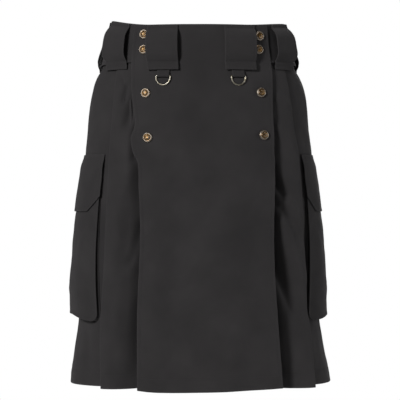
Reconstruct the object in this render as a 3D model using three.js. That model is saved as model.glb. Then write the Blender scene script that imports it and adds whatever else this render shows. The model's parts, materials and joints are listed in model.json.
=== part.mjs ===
import * as THREE from 'three';

// A utility kilt, worn, in millimetres: +Z up and the front facing -Y. Left and right are as seen from the front.
// The origin is the centre of the waist, at the height where the wearer carries it.

const CLOTH = 1.5;
const BAND_THICK = 2.4;
const STRAP_THICK = 2;
const SEAM_GAP = 0.3;
const LAYER_GAP = 0.5;
const LAYER = CLOTH + LAYER_GAP;
const FACE = CLOTH / 2;
const SEAM_PLACE = 3;

const HEM_Z = -581;
const PANEL_TOP_Z = -14;
const BAND_BOTTOM_Z = -36;
const EDGE_FRONT_Z = 26;
const EDGE_RISE = 11.5;
const EDGE_TILT = 3;
const EDGE_RISE_FROM = 75;
const EDGE_RISE_TO = 205;

// Each ring is the outer face of the skirt at one height: half its width, and how far it reaches forward and back.
const RING_POWER = 2.35;
const RINGS = [
  { z: 45, side: 147, front: 105.5, back: 107.5 },
  { z: 0, side: 157, front: 112, back: 114 },
  { z: -42, side: 169, front: 120, back: 124 },
  { z: -80, side: 182, front: 127, back: 134 },
  { z: -110, side: 189, front: 131, back: 140 },
  { z: -150, side: 192.5, front: 134, back: 144 },
  { z: -190, side: 197, front: 137, back: 146 },
  { z: -300, side: 202, front: 146, back: 151 },
  { z: -480, side: 210, front: 160, back: 161 },
  { z: -581, side: 225, front: 168, back: 171 },
];

// The skirt hangs turned a little on the waist, towards its right side.
const TURN = [
  { z: 45, shift: 4.5 },
  { z: -20, shift: 4.5 },
  { z: -90, shift: 8 },
  { z: -150, shift: 10 },
  { z: -190, shift: 12 },
  { z: -266, shift: 14.8 },
  { z: -435, shift: 14.8 },
  { z: -581, shift: 16.6 },
];

// Distances round the ring from the front centre: the apron's edge, the fold beside it, and the outer pleat's fold.
const FRONT_LINES = [
  { z: 45, apron: 112, inner: 108, pleat: 148 },
  { z: -14, apron: 117, inner: 110, pleat: 150 },
  { z: -57, apron: 119.5, inner: 113, pleat: 154 },
  { z: -125, apron: 117, inner: 112, pleat: 161 },
  { z: -187, apron: 116, inner: 112.5, pleat: 170 },
  { z: -256, apron: 113, inner: 113.5, pleat: 176 },
  { z: -336, apron: 112.5, inner: 117, pleat: 180 },
  { z: -406, apron: 113, inner: 120, pleat: 182.5 },
  { z: -480, apron: 116, inner: 124.5, pleat: 187.5 },
  { z: -581, apron: 119, inner: 129, pleat: 184.5 },
];

// How far the pleats beside the apron have opened: depth behind the face, and how far the hidden layer runs back.
const FRONT_PLEATS = [
  { z: -14, innerDepth: 0, innerRun: 17, pleatDepth: 0, pleatRun: 20, panelOut: 0 },
  { z: -150, innerDepth: 0, innerRun: 17, pleatDepth: 1, pleatRun: 20, panelOut: 0 },
  { z: -200, innerDepth: 2, innerRun: 15, pleatDepth: 4, pleatRun: 19, panelOut: 0.5 },
  { z: -300, innerDepth: 14, innerRun: 8, pleatDepth: 9, pleatRun: 17, panelOut: 1.5 },
  { z: -400, innerDepth: 28, innerRun: 2, pleatDepth: 16, pleatRun: 14, panelOut: 3 },
  { z: -500, innerDepth: 40, innerRun: -3, pleatDepth: 24, pleatRun: 12, panelOut: 6 },
  { z: -581, innerDepth: 49, innerRun: -7, pleatDepth: 30, pleatRun: 10, panelOut: 9 },
];

// The back pleats are stitched down at the top and open towards the hem.
const BACK_PLEATS = 4;
const BACK_LINES = [
  { z: -14, start: 292, drop: 2 * LAYER, run: 22 },
  { z: -85, start: 332, drop: 2 * LAYER, run: 22 },
  { z: -150, start: 357, drop: 2 * LAYER, run: 22 },
  { z: -200, start: 369, drop: 5, run: 21 },
  { z: -300, start: 381, drop: 9, run: 19 },
  { z: -450, start: 396, drop: 16, run: 15 },
  { z: -581, start: 420, drop: 22, run: 12 },
];

const COARSE_LEVELS = [
  HEM_Z, -532, -485, -390, -285, -235, -200, -170, -140, -110, -85, -60, BAND_BOTTOM_Z, PANEL_TOP_Z,
];
const FINE_LEVELS = [...COARSE_LEVELS, -556, -508, -462, -438, -414, -365, -338, -312, -260].sort((a, b) => a - b);

// The largest folds of the worn cloth: a line from one point to another, by distance round the ring and height.
// depth above 0 is a trough and below 0 a ridge; reach is how far it spreads to each side.
const FOLDS = [
  { panel: 'right', u1: 113, z1: -168, u2: 168, z2: -285, reach: 9, depth: 4 },
  { panel: 'right', u1: 118, z1: -225, u2: 176, z2: -345, reach: 10, depth: 5 },
  { panel: 'right', u1: 120, z1: -330, u2: 184, z2: -470, reach: 12, depth: 6 },
  { panel: 'right', u1: 122, z1: -200, u2: 172, z2: -318, reach: 9, depth: -3 },
  { panel: 'right', u1: 124, z1: -285, u2: 180, z2: -410, reach: 11, depth: -4 },
  { panel: 'right', u1: 126, z1: -90, u2: 160, z2: -118, reach: 8, depth: -3 },
  { panel: 'right', u1: 124, z1: -140, u2: 164, z2: -186, reach: 10, depth: -3.5 },
  { panel: 'left', u1: -120, z1: -140, u2: -134, z2: -235, reach: 11, depth: -5 },
  { panel: 'left', u1: -128, z1: -250, u2: -150, z2: -390, reach: 12, depth: 4 },
  { panel: 'left', u1: -128, z1: -470, u2: -140, z2: -600, reach: 13, depth: 5 },
  { panel: 'left', u1: -144, z1: -76, u2: -156, z2: -132, reach: 8, depth: -2.5 },
  { panel: 'apron', u1: 66, z1: -230, u2: -30, z2: -400, reach: 26, depth: -4 },
  { panel: 'apron', u1: -60, z1: -190, u2: -58, z2: -560, reach: 24, depth: 3 },
  { panel: 'apron', u1: 74, z1: -330, u2: 60, z2: -590, reach: 22, depth: 3 },
];

// Troughs on the panels beside the apron begin where the pleats open, and behind the apron's edge there are none.
const TROUGH_FROM_Z = -170;
const TROUGH_FULL_Z = -270;
const FOLD_FADE = 12;

// The apron comes closer to the skirt below the waistband, and its edges stand out towards the hem.
const APRON_PLAY = 1;
const APRON_SETTLE = 60;
const APRON_EDGE_LIFT = 5;
const APRON_EDGE_FROM = 60;
const APRON_LIFT_FROM_Z = -300;
const APRON_LIFT_FULL_Z = -560;
const APRON_COLUMNS = 16;
const APRON_TOP_ROW_Z = 6;

// The panel behind the apron hangs further back towards the hem: share is the way out to its fold, and sink the way
// from the depth of its middle to the depth of its edge.
const UNDER_SINK = 70;
const UNDER_SINK_END_Z = -760;
const UNDER_APRON = [
  { share: 0.22, sink: 0 },
  { share: 0.44, sink: 0 },
  { share: 0.66, sink: 0.5 },
  { share: 0.86, sink: 1 },
];

// The side panel's cloth comes out from under the pleats at its front and back over these lengths.
const SIDE_FROM_FRONT = 115;
const SIDE_FROM_BACK = 85;
const SIDE_CURVE = 1.6;

const BAND_LEVELS = [BAND_BOTTOM_Z, -10, 8];
const BAND_COLUMNS = 52;

const LOOP_WIDTH = 50;
const LOOP_STAND_OFF = 8.5;
const LOOP_GAP = 0.9;

const RING_WIRE = 2.6;
const RING_WIDTH = 26.5;
const RING_DROP = 17;
const RING_Z = -61;
const RING_PLACES = { left: -64.3, right: 59 };
const TAB_WIDTH = 20;
const TAB_CLOTH = 1.2;
const TAB_CLEARANCE = 0.3;
const TAB_RISE = 14;

const SNAP_RADIUS = 8.5;
const SNAP_HEIGHT = 3.6;
const SNAPS = {
  left: [
    { u: -95.6, z: 10.5 },
    { u: -96, z: -15.5 },
    { u: -96, z: -89.5 },
    { u: -95.3, z: -163.8 },
  ],
  right: [
    { u: 98.5, z: 8 },
    { u: 97, z: -15 },
    { u: 97, z: -88.3 },
    { u: 99, z: -159.5 },
  ],
};

const POCKET_WIDTH = 168;
const POCKET_TOP_Z = -216;
const POCKET_BOTTOM_Z = -474;
const POCKET_CORNER = 16;
const POCKET_CREASE = 3;
const POCKET_BULGE = 1.5;
const FLAP_TOP_Z = -191;
const FLAP_BOTTOM_Z = -287;
const FLAP_CORNER = 26;
const FLAP_OVERHANG = 4;
const FLAP_PLAY = 0.5;
const FLAP_SHARES = [0, 0.13, 0.28, 0.46, 0.64, 0.82, 1];
// The pocket's front edge round the ring, and how far the inside of its outer cloth stands off the skirt.
const POCKET_LINES = [
  { z: -191, edge: 189, out: 1 },
  { z: -216, edge: 193, out: 6.5 },
  { z: -260, edge: 200, out: 8.5 },
  { z: -300, edge: 204, out: 10 },
  { z: -350, edge: 208, out: 13 },
  { z: -407, edge: 210, out: 15 },
  { z: -450, edge: 211, out: 14 },
  { z: -474, edge: 212, out: 12 },
];

const CLOTH_COLOUR = 0x323031;
const BRASS_COLOUR = 0x8a7a62;
const COPPER_COLOUR = 0x7d5f4c;

// Reads one column of a table at a height, on a smooth curve through its rows.
function lookUp(table, column, z) {
  const last = table.length - 1;
  let i = 0;
  while (i < last - 1 && z < table[i + 1].z) i += 1;
  const slopeAt = (k) => {
    const before = table[Math.max(k - 1, 0)];
    const after = table[Math.min(k + 1, last)];
    return (after[column] - before[column]) / (after.z - before.z);
  };
  const [a, b] = [table[i], table[i + 1]];
  const span = b.z - a.z;
  const t = Math.min(Math.max((z - a.z) / span, 0), 1);
  const [t2, t3] = [t * t, t * t * t];
  return (2 * t3 - 3 * t2 + 1) * a[column] + (t3 - 2 * t2 + t) * span * slopeAt(i)
    + (3 * t2 - 2 * t3) * b[column] + (t3 - t2) * span * slopeAt(i + 1);
}

function smoothStep(from, to, x) {
  const t = Math.min(Math.max((x - from) / (to - from), 0), 1);
  return t * t * (3 - 2 * t);
}

function spread(from, to, count) {
  return Array.from({ length: count + 1 }, (_, i) => from + ((to - from) * i) / count);
}

// One ring, with the distance round it from the front centre to the back centre measured in small steps.
const ARC_STEPS = 720;
const ringCache = new Map();
function ringAt(z) {
  if (ringCache.has(z)) return ringCache.get(z);
  const [side, front, back] = ['side', 'front', 'back'].map((column) => lookUp(RINGS, column, z));
  const pointAt = (angle) => {
    const cosine = Math.cos(angle);
    const depth = cosine > 0 ? front : back;
    return [
      side * Math.max(Math.sin(angle), 0) ** (2 / RING_POWER),
      -Math.sign(cosine) * depth * Math.abs(cosine) ** (2 / RING_POWER),
    ];
  };
  const arcs = [0];
  let before = pointAt(0);
  for (let i = 1; i <= ARC_STEPS; i += 1) {
    const here = pointAt((Math.PI * i) / ARC_STEPS);
    arcs.push(arcs[i - 1] + Math.hypot(here[0] - before[0], here[1] - before[1]));
    before = here;
  }
  const ring = { side, front, back, pointAt, arcs, half: arcs[ARC_STEPS] };
  ringCache.set(z, ring);
  return ring;
}

// A point and the outward direction on a ring, at a distance round it, positive towards +X.
function onRing(distance, z) {
  const ring = ringAt(z);
  let arc = distance;
  if (arc > ring.half) arc -= 2 * ring.half;
  if (arc < -ring.half) arc += 2 * ring.half;
  const size = Math.min(Math.abs(arc), ring.half);
  let [low, high] = [0, ARC_STEPS];
  while (high - low > 1) {
    const middle = (low + high) >> 1;
    if (ring.arcs[middle] > size) high = middle;
    else low = middle;
  }
  const share = (size - ring.arcs[low]) / (ring.arcs[high] - ring.arcs[low]);
  const [x, y] = ring.pointAt((Math.PI * (low + share)) / ARC_STEPS);
  const depth = y < 0 ? ring.front : ring.back;
  const out = new THREE.Vector2(
    Math.abs(x / ring.side) ** (RING_POWER - 1) / ring.side,
    (Math.sign(y) * Math.abs(y / depth) ** (RING_POWER - 1)) / depth,
  ).normalize();
  const mirror = arc < 0 ? -1 : 1;
  return { x: mirror * x, y, outX: mirror * out.x, outY: out.y };
}

// A point by its place on the skirt: distance round from the front centre, height, and depth inside the ring.
function place(u, z, depth) {
  const spot = onRing(u + lookUp(TURN, 'shift', z), z);
  return new THREE.Vector3(spot.x - spot.outX * depth, spot.y - spot.outY * depth, z);
}

// How far the folds move a panel's cloth inward. A trough needs the pleats behind the cloth to have opened.
function foldDepth(panel, u, z) {
  let sum = 0;
  for (const fold of FOLDS) {
    if (fold.panel !== panel) continue;
    const [du, dz] = [fold.u2 - fold.u1, fold.z2 - fold.z1];
    const length = Math.hypot(du, dz);
    const along = ((u - fold.u1) * du + (z - fold.z1) * dz) / length;
    const across = ((u - fold.u1) * dz - (z - fold.z1) * du) / length;
    const [out, full] = [-fold.reach, 2 * fold.reach];
    const fade = smoothStep(out, full, along) * smoothStep(out, full, length - along);
    const room = fold.depth > 0 && panel !== 'apron' ? smoothStep(TROUGH_FROM_Z, TROUGH_FULL_Z, z) : 1;
    sum += fold.depth * fade * room * Math.exp(-((across / fold.reach) ** 2));
  }
  return sum;
}

// The two faces of a wall: a flat line moved to each side of itself, its corners kept square.
function bothSides(line, thickness) {
  const normals = line.slice(1).map((b, i) => {
    const a = line[i];
    const length = Math.hypot(b[0] - a[0], b[1] - a[1]);
    return [(b[1] - a[1]) / length, -(b[0] - a[0]) / length];
  });
  const moved = (distance) => line.map((p, i) => {
    const n1 = normals[Math.max(i - 1, 0)];
    const n2 = normals[Math.min(i, normals.length - 1)];
    const stretch = distance / (1 + n1[0] * n2[0] + n1[1] * n2[1]);
    return [p[0] + (n1[0] + n2[0]) * stretch, p[1] + (n1[1] + n2[1]) * stretch];
  });
  return [moved(thickness / 2), moved(-thickness / 2)];
}

// Closes two grids of points, a wall's faces, into one body.
function closedWall(front, back) {
  const rows = front.length;
  const columns = front[0].length;
  const points = [...front.flat(), ...back.flat()];
  const backStart = rows * columns;
  const faces = [];
  const quad = (a, b, c, d) => faces.push(a, b, c, a, c, d);
  const at = (r, c) => r * columns + c;
  for (let r = 0; r + 1 < rows; r += 1) {
    for (let c = 0; c + 1 < columns; c += 1) {
      const corners = [at(r, c), at(r, c + 1), at(r + 1, c + 1), at(r + 1, c)];
      const [p, q, v, w] = corners.map((i) => points[i]);
      // Layers that lie on each other split their faces the same way, across the shorter diagonal.
      if (p.distanceTo(v) > q.distanceTo(w)) corners.push(corners.shift());
      const [a, b, d, e] = corners;
      quad(a, b, d, e);
      faces.push(backStart + a, backStart + d, backStart + b, backStart + a, backStart + e, backStart + d);
    }
  }
  const rim = [];
  for (let c = 0; c < columns; c += 1) rim.push(at(0, c));
  for (let r = 1; r < rows; r += 1) rim.push(at(r, columns - 1));
  for (let c = columns - 2; c >= 0; c -= 1) rim.push(at(rows - 1, c));
  for (let r = rows - 2; r > 0; r -= 1) rim.push(at(r, 0));
  rim.forEach((a, i) => {
    const b = rim[(i + 1) % rim.length];
    quad(b, a, backStart + a, backStart + b);
  });
  return solidFrom(points, faces);
}

// A geometry from points and faces, turned so that its faces point out.
function solidFrom(points, faces) {
  let volume = 0;
  for (let i = 0; i < faces.length; i += 3) {
    const [a, b, c] = [points[faces[i]], points[faces[i + 1]], points[faces[i + 2]]];
    volume += a.dot(new THREE.Vector3().crossVectors(b, c));
  }
  const geometry = new THREE.BufferGeometry();
  const numbers = points.flatMap((p) => [p.x, p.y, p.z]);
  geometry.setAttribute('position', new THREE.Float32BufferAttribute(numbers, 3));
  geometry.setIndex(volume > 0 ? faces : [...faces].reverse());
  geometry.computeVertexNormals();
  return geometry;
}

// A panel of the skirt from its cross-sections: section(z) lists [u, depth] along the middle of the cloth.
function panelWall(levels, section) {
  const [front, back] = [[], []];
  for (const z of levels) {
    const line = section(z).map(([u, depth]) => place(u, z, depth)).map((p) => [p.x, p.y]);
    const [outer, inner] = bothSides(line, CLOTH);
    front.push(outer.map(([x, y]) => new THREE.Vector3(x, y, z)));
    back.push(inner.map(([x, y]) => new THREE.Vector3(x, y, z)));
  }
  return closedWall(front, back);
}

function line(column, z) {
  return lookUp(FRONT_LINES, column, z);
}

function pleat(column, z) {
  return lookUp(FRONT_PLEATS, column, Math.min(z, PANEL_TOP_Z));
}

// The top edge rises from the front to the back, and more on the left.
function topEdge(u) {
  const way = u + TURN[0].shift;
  const tilt = EDGE_TILT * Math.sin((Math.PI * way) / ringAt(EDGE_FRONT_Z).half);
  return EDGE_FRONT_Z + (EDGE_RISE - tilt) * smoothStep(EDGE_RISE_FROM, EDGE_RISE_TO, Math.abs(way));
}

// The middle of the apron's cloth: over the waistband at the top, closer to the skirt below it.
function apronDepth(u, z) {
  const overBand = -(LAYER_GAP + BAND_THICK + LAYER_GAP + FACE);
  const below = -(LAYER + APRON_PLAY);
  const settle = smoothStep(BAND_BOTTOM_Z, BAND_BOTTOM_Z - APRON_SETTLE, z);
  const atEdge = smoothStep(APRON_EDGE_FROM, line('apron', HEM_Z), Math.abs(u));
  const edgeLift = APRON_EDGE_LIFT * atEdge * smoothStep(APRON_LIFT_FROM_Z, APRON_LIFT_FULL_Z, z);
  return overBand + (below - overBand) * settle - edgeLift + foldDepth('apron', u, z);
}

function apronWall() {
  const rows = [...FINE_LEVELS, APRON_TOP_ROW_Z];
  const sides = [[], []];
  const addRow = (heightAt) => {
    const points = spread(-1, 1, APRON_COLUMNS).map((share) => {
      const z = heightAt(share);
      const u = share * line('apron', z);
      return place(u, z, apronDepth(u, z));
    });
    const faces = bothSides(points.map((p) => [p.x, p.y]), CLOTH);
    faces.forEach((face, k) => sides[k].push(face.map(([x, y], i) => new THREE.Vector3(x, y, points[i].z))));
  };
  rows.forEach((z) => addRow(() => z));
  addRow((share) => topEdge(share * FRONT_LINES[0].apron));
  return closedWall(sides[0], sides[1]);
}

// The point on the way from one place to another that is a length short of it.
function stopBefore(from, to, length) {
  const whole = Math.hypot(to[0] - from[0], to[1] - from[1]);
  const share = (whole - length) / whole;
  return [from[0] + (to[0] - from[0]) * share, from[1] + (to[1] - from[1]) * share];
}

// The panel behind the apron, with the fold that it shares with the panel on each side.
function underApronWall() {
  return panelWall(FINE_LEVELS, (z) => {
    const fold = line('inner', z);
    const end = fold + pleat('innerRun', z);
    const depth = pleat('innerDepth', z);
    const deep = FACE + 2 * LAYER + depth;
    const middle = FACE + 2 * LAYER + UNDER_SINK * smoothStep(PANEL_TOP_Z, UNDER_SINK_END_Z, z);
    const seam = stopBefore([fold, FACE + LAYER], [end, deep - LAYER], SEAM_PLACE);
    const half = [
      ...UNDER_APRON.map(({ share, sink }) => [fold * share, middle + (deep - middle) * sink]),
      [end, deep],
      [end, deep - LAYER],
      seam,
    ];
    return [...half.map(([u, d]) => [-u, d]).reverse(), [0, middle], ...half];
  });
}

// The panel beside the apron, between two folds, with a hidden layer behind each.
function frontPanelWall(side) {
  const panel = side > 0 ? 'right' : 'left';
  return panelWall(FINE_LEVELS, (z) => {
    const [inner, outer] = [line('inner', z), line('pleat', z)];
    const out = pleat('panelOut', z);
    const innerDeep = FACE + LAYER + pleat('innerDepth', z);
    const innerEnd = inner + pleat('innerRun', z);
    const apron = line('apron', z);
    const faceAt = (u) => FACE - out * smoothStep(inner, outer, u)
      + foldDepth(panel, side * u, z) * smoothStep(apron - 1, apron + FOLD_FADE, u);
    const face = spread(inner, outer, 7).map((u) => [u, faceAt(u)]);
    const outerTop = faceAt(outer);
    const deep = FACE + LAYER + pleat('pleatDepth', z);
    const run = pleat('pleatRun', z);
    const innerTop = faceAt(inner);
    const innerTurn = [inner, innerTop + LAYER];
    const outerTurn = [outer, outerTop + LAYER];
    return [
      stopBefore(innerTurn, [innerEnd, innerDeep], SEAM_PLACE + SEAM_GAP),
      innerTurn,
      ...face,
      outerTurn,
      stopBefore(outerTurn, [outer - run, deep], SEAM_PLACE + SEAM_GAP),
    ].map(([u, d]) => [side * u, d]);
  });
}

// How deep the back pleats' cloth lies a distance behind a fold's edge, at one height.
function backPleats(z) {
  const start = lookUp(BACK_LINES, 'start', z);
  const drop = lookUp(BACK_LINES, 'drop', z);
  const run = lookUp(BACK_LINES, 'run', z);
  const pitch = (ringAt(z).half - start) / BACK_PLEATS;
  return { start, drop, run, pitch, slope: drop / pitch };
}

// The middle of the side panel's cloth: deep beside the two pleats that cover its edges, level between them.
function sideDepth(u, z) {
  const front = line('pleat', z);
  const back = backPleats(z);
  const frontDeep = 2 * LAYER + pleat('pleatDepth', z);
  const fromFront = Math.min(Math.max((u - front) / SIDE_FROM_FRONT, 0), 1);
  const fromBack = Math.min(Math.max((back.start - u) / SIDE_FROM_BACK, 0), 1);
  return FACE + frontDeep * (1 - fromFront) ** SIDE_CURVE + back.drop * (1 - fromBack) ** SIDE_CURVE;
}

function sidePanelWall(side) {
  return panelWall(COARSE_LEVELS, (z) => {
    const outer = line('pleat', z);
    const turn = outer - pleat('pleatRun', z);
    const deep = FACE + LAYER + pleat('pleatDepth', z);
    const outerTop = FACE - pleat('panelOut', z) + LAYER;
    const back = backPleats(z);
    const hidden = FACE + back.drop + back.slope * (back.run - SEAM_PLACE - SEAM_GAP);
    return [
      stopBefore([outer, outerTop], [turn, deep], SEAM_PLACE),
      [turn, deep],
      [turn, deep + LAYER],
      ...spread(outer, back.start, 13).map((u) => [u, sideDepth(u, z)]),
      [back.start + back.run - SEAM_PLACE - SEAM_GAP, hidden],
    ].map(([u, d]) => [side * u, d]);
  });
}

// Half of the back: knife pleats that face outward, the last face ending at the centre back.
function backPanelWall(side) {
  return panelWall(COARSE_LEVELS, (z) => {
    const { start, drop, run, pitch, slope } = backPleats(z);
    const points = [[start + run - SEAM_PLACE, FACE + drop + slope * (run - SEAM_PLACE)]];
    for (let i = 0; i < BACK_PLEATS; i += 1) {
      const edge = start + i * pitch;
      const deep = FACE + drop + slope * run;
      const isLast = i === BACK_PLEATS - 1;
      const faceSlope = isLast ? 0 : slope;
      const faceEnd = isLast ? ringAt(z).half - SEAM_GAP / 2 : edge + pitch;
      points.push([edge + run, deep], [edge + run, deep - LAYER], [edge, FACE + LAYER], [edge, FACE]);
      spread(edge, faceEnd, 3).slice(1).forEach((u) => points.push([u, FACE + faceSlope * (u - edge)]));
    }
    return points.map(([u, d]) => [side * u, d]);
  });
}

// The waistband goes once round the ring, its two ends meeting at the centre back, under the belt loop.
function waistbandWall() {
  const sides = [[], []];
  const heights = [...BAND_LEVELS.map((z) => () => z), topEdge];
  for (const heightAt of heights) {
    const points = spread(-1, 1, BAND_COLUMNS).map((share) => {
      const rough = share * ringAt(EDGE_FRONT_Z).half;
      const z = heightAt(rough);
      return place(share * (ringAt(z).half - SEAM_GAP / 2), z, -(LAYER_GAP + BAND_THICK / 2));
    });
    const faces = bothSides(points.map((p) => [p.x, p.y]), BAND_THICK);
    faces.forEach((face, k) => sides[k].push(face.map(([x, y], i) => new THREE.Vector3(x, y, points[i].z))));
  }
  return closedWall(sides[0], sides[1]);
}

// A belt loop: a strap stitched down at both ends. share is the way up it, lift the share of its full stand-off.
const LOOP_SHAPE = [
  { share: 0, lift: 0 },
  { share: 0.07, lift: 0 },
  { share: 0.15, lift: 0.55 },
  { share: 0.28, lift: 0.92 },
  { share: 0.5, lift: 1 },
  { share: 0.72, lift: 0.92 },
  { share: 0.85, lift: 0.55 },
  { share: 0.92, lift: 0 },
  { share: 1, lift: 0 },
];
const LOOP_COLUMNS = 3;
const LOOP_TOP_GAP = 0.5;
// How far round the ring a loop's middle is at a height. The front ones go straight down.
function loopMiddle(loop, z) {
  return loop.sign * loop.place * ringAt(loop.upright ? 0 : z).half;
}

// Below the first share of its height a front loop lies over a ring tab, and above the second it is clear of it.
const TAB_UNDER_SHARES = [0.08, 0.3];

function loopWall(loop) {
  const [front, back] = [[], []];
  for (const across of spread(-0.5, 0.5, LOOP_COLUMNS)) {
    const profile = LOOP_SHAPE.map(({ share, lift }) => {
      const roughU = loopMiddle(loop, 0) + across * LOOP_WIDTH;
      const z = loop.bottom + share * (topEdge(roughU) - LOOP_TOP_GAP - loop.bottom);
      const u = loopMiddle(loop, z) + across * LOOP_WIDTH;
      const ends = loop.overTab * (1 - smoothStep(...TAB_UNDER_SHARES, share));
      const flat = loop.flat * lift * (2 * across) ** 2;
      const height = loop.surface(u, z) + LOOP_GAP + STRAP_THICK / 2 + ends + flat + lift * LOOP_STAND_OFF;
      return { u, line: [height, z] };
    });
    const faces = bothSides(profile.map((p) => p.line), STRAP_THICK);
    const [outer, inner] = faces.map((face) => face.map(([height, z], i) => place(profile[i].u, z, -height)));
    front.push(outer);
    back.push(inner);
  }
  return closedWall(front, back);
}

// The outer face of what a belt loop lies on, measured out from the ring.
const onApron = (u, z) => FACE - apronDepth(u, z);
const onBand = (u, z) => (LAYER_GAP + BAND_THICK) * smoothStep(BAND_BOTTOM_Z - 8, BAND_BOTTOM_Z, z);

const TAB_LAYERS = 2 * TAB_CLOTH + 2 * LAYER_GAP;
// flat is how much further the strap stands off at its two edges than at its middle.
const FRONT_LOOP = { name: 'front', upright: true, place: 0.145, bottom: -50 };
const SIDE_LOOP = { name: 'side', upright: false, place: 0.343, bottom: -48 };
const HIP_LOOP = { name: 'hip', upright: false, place: 0.575, bottom: -46 };
const LOOPS = [
  { ...FRONT_LOOP, surface: onApron, overTab: TAB_LAYERS, flat: 0.5 },
  { ...SIDE_LOOP, surface: onBand, overTab: 0, flat: 2.5 },
  { ...HIP_LOOP, surface: onBand, overTab: 0, flat: 1 },
];

// A place on the apron's outer face, raised by a gap, with its own directions: along, into the cloth, and up.
function apronFrame(u, z, gap) {
  const at = (du, dz) => place(u + du, z + dz, apronDepth(u + du, z + dz) - FACE - gap);
  const origin = at(0, 0);
  const along = at(5, 0).sub(at(-5, 0)).normalize();
  const up = at(0, 8).sub(at(0, -8));
  const inward = new THREE.Vector3().crossVectors(up, along).normalize();
  const upright = new THREE.Vector3().crossVectors(along, inward);
  return { origin, inward, basis: new THREE.Matrix4().makeBasis(along, inward, upright) };
}

function putOn(mesh, frame) {
  mesh.position.copy(frame.origin);
  mesh.quaternion.setFromRotationMatrix(frame.basis);
}

const BAR_OUT = RING_WIRE / 2 + TAB_CLEARANCE + TAB_CLOTH;

// The tab's side view round the ring's bar, as wide as the tab: out of the apron is -Y.
function tabGeometry() {
  const outline = new THREE.Shape();
  outline.moveTo(0, TAB_RISE);
  outline.lineTo(0, 0);
  outline.absarc(BAR_OUT, 0, BAR_OUT, Math.PI, 2 * Math.PI, false);
  outline.lineTo(2 * TAB_CLOTH, TAB_RISE / 2);
  outline.lineTo(2 * TAB_CLOTH, TAB_RISE);
  outline.closePath();
  const bore = new THREE.Path();
  bore.absarc(BAR_OUT, 0, RING_WIRE / 2 + TAB_CLEARANCE, 0, 2 * Math.PI, true);
  outline.holes.push(bore);
  const extrusion = { depth: TAB_WIDTH, bevelEnabled: false, curveSegments: 7 };
  const geometry = new THREE.ExtrudeGeometry(outline, extrusion);
  geometry.translate(0, 0, -TAB_WIDTH / 2);
  const turned = new THREE.Matrix4().makeBasis(
    new THREE.Vector3(0, -1, 0),
    new THREE.Vector3(0, 0, 1),
    new THREE.Vector3(-1, 0, 0),
  );
  return geometry.applyMatrix4(turned);
}

// The D-ring hangs from its straight bar and leans until its lower end is close to the apron.
const RING_REST_GAP = 0.4;
const RING_CORNER = 2.5;
const BOW_STEPS = 11;
const WIRE_SIDES = 8;

function dRingGeometry() {
  const reach = (RING_WIDTH - RING_WIRE) / 2;
  const drop = RING_DROP - RING_WIRE / 2;
  const lean = Math.asin((BAR_OUT + LAYER_GAP - RING_WIRE / 2 - RING_REST_GAP) / drop);
  const path = [];
  for (let i = 0; i <= BOW_STEPS; i += 1) {
    const angle = (Math.PI * i) / BOW_STEPS;
    path.push([reach * Math.cos(angle), RING_CORNER + (drop - RING_CORNER) * Math.sin(angle)]);
  }
  const cut = RING_CORNER * (1 - Math.SQRT1_2);
  path.push([-(reach - cut), cut], [-(reach - RING_CORNER), 0], [0, 0]);
  path.push([reach - RING_CORNER, 0], [reach - cut, cut]);
  const points = [];
  const faces = [];
  path.forEach(([x, s], i) => {
    const before = path[(i + path.length - 1) % path.length];
    const after = path[(i + 1) % path.length];
    const way = new THREE.Vector2(after[0] - before[0], after[1] - before[1]).normalize();
    for (let k = 0; k < WIRE_SIDES; k += 1) {
      const angle = (2 * Math.PI * (k + 0.5)) / WIRE_SIDES;
      const inPlane = (RING_WIRE / 2) * Math.cos(angle);
      const offPlane = (RING_WIRE / 2) * Math.sin(angle);
      const [px, ps] = [x - way.y * inPlane, s + way.x * inPlane];
      points.push(new THREE.Vector3(
        px,
        -BAR_OUT + ps * Math.sin(lean) + offPlane * Math.cos(lean),
        -ps * Math.cos(lean) + offPlane * Math.sin(lean),
      ));
      const [here, next] = [i * WIRE_SIDES, ((i + 1) % path.length) * WIRE_SIDES];
      const nextSide = (k + 1) % WIRE_SIDES;
      faces.push(here + k, here + nextSide, next + k);
      faces.push(next + k, here + nextSide, next + nextSide);
    }
  });
  return solidFrom(points, faces);
}

// A snap's cap: a low dome with one raised circle. across is the share of its radius, up the share of its height.
const SNAP_PROFILE = [
  { across: 0, up: 0 },
  { across: 0.95, up: 0 },
  { across: 1, up: 0.3 },
  { across: 0.82, up: 0.72 },
  { across: 0.66, up: 0.66 },
  { across: 0.4, up: 0.95 },
  { across: 0, up: 1 },
];
const SNAP_SIDES = 10;

function snapGeometry() {
  const size = new THREE.Vector2(SNAP_RADIUS, SNAP_HEIGHT);
  const profile = SNAP_PROFILE.map(({ across, up }) => new THREE.Vector2(across, up).multiply(size));
  return new THREE.LatheGeometry(profile, SNAP_SIDES);
}

// The pocket's outer cloth: its inner face stands a height off the side panel, a little more at the middle.
function pocketHeight(u, z) {
  const share = (u - lookUp(POCKET_LINES, 'edge', z)) / POCKET_WIDTH;
  const middle = POCKET_BULGE * Math.sin(Math.PI * Math.min(Math.max(share, 0), 1));
  return lookUp(POCKET_LINES, 'out', z) + middle;
}

function offSide(side, u, z, height) {
  return place(side * u, z, sideDepth(u, z) - FACE - height);
}

function pocketInset(z) {
  const above = Math.min(z - POCKET_BOTTOM_Z, POCKET_CORNER);
  return POCKET_CORNER - Math.sqrt(POCKET_CORNER ** 2 - (POCKET_CORNER - above) ** 2);
}

const POCKET_EDGE_LEVELS = [POCKET_BOTTOM_Z + POCKET_CORNER, -425, -390, -340, -285, -250, POCKET_TOP_Z];
const POCKET_LEVELS = [POCKET_BOTTOM_Z, POCKET_BOTTOM_Z + 3, POCKET_BOTTOM_Z + 8, ...POCKET_EDGE_LEVELS];
const POCKET_COLUMNS = 12;

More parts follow.
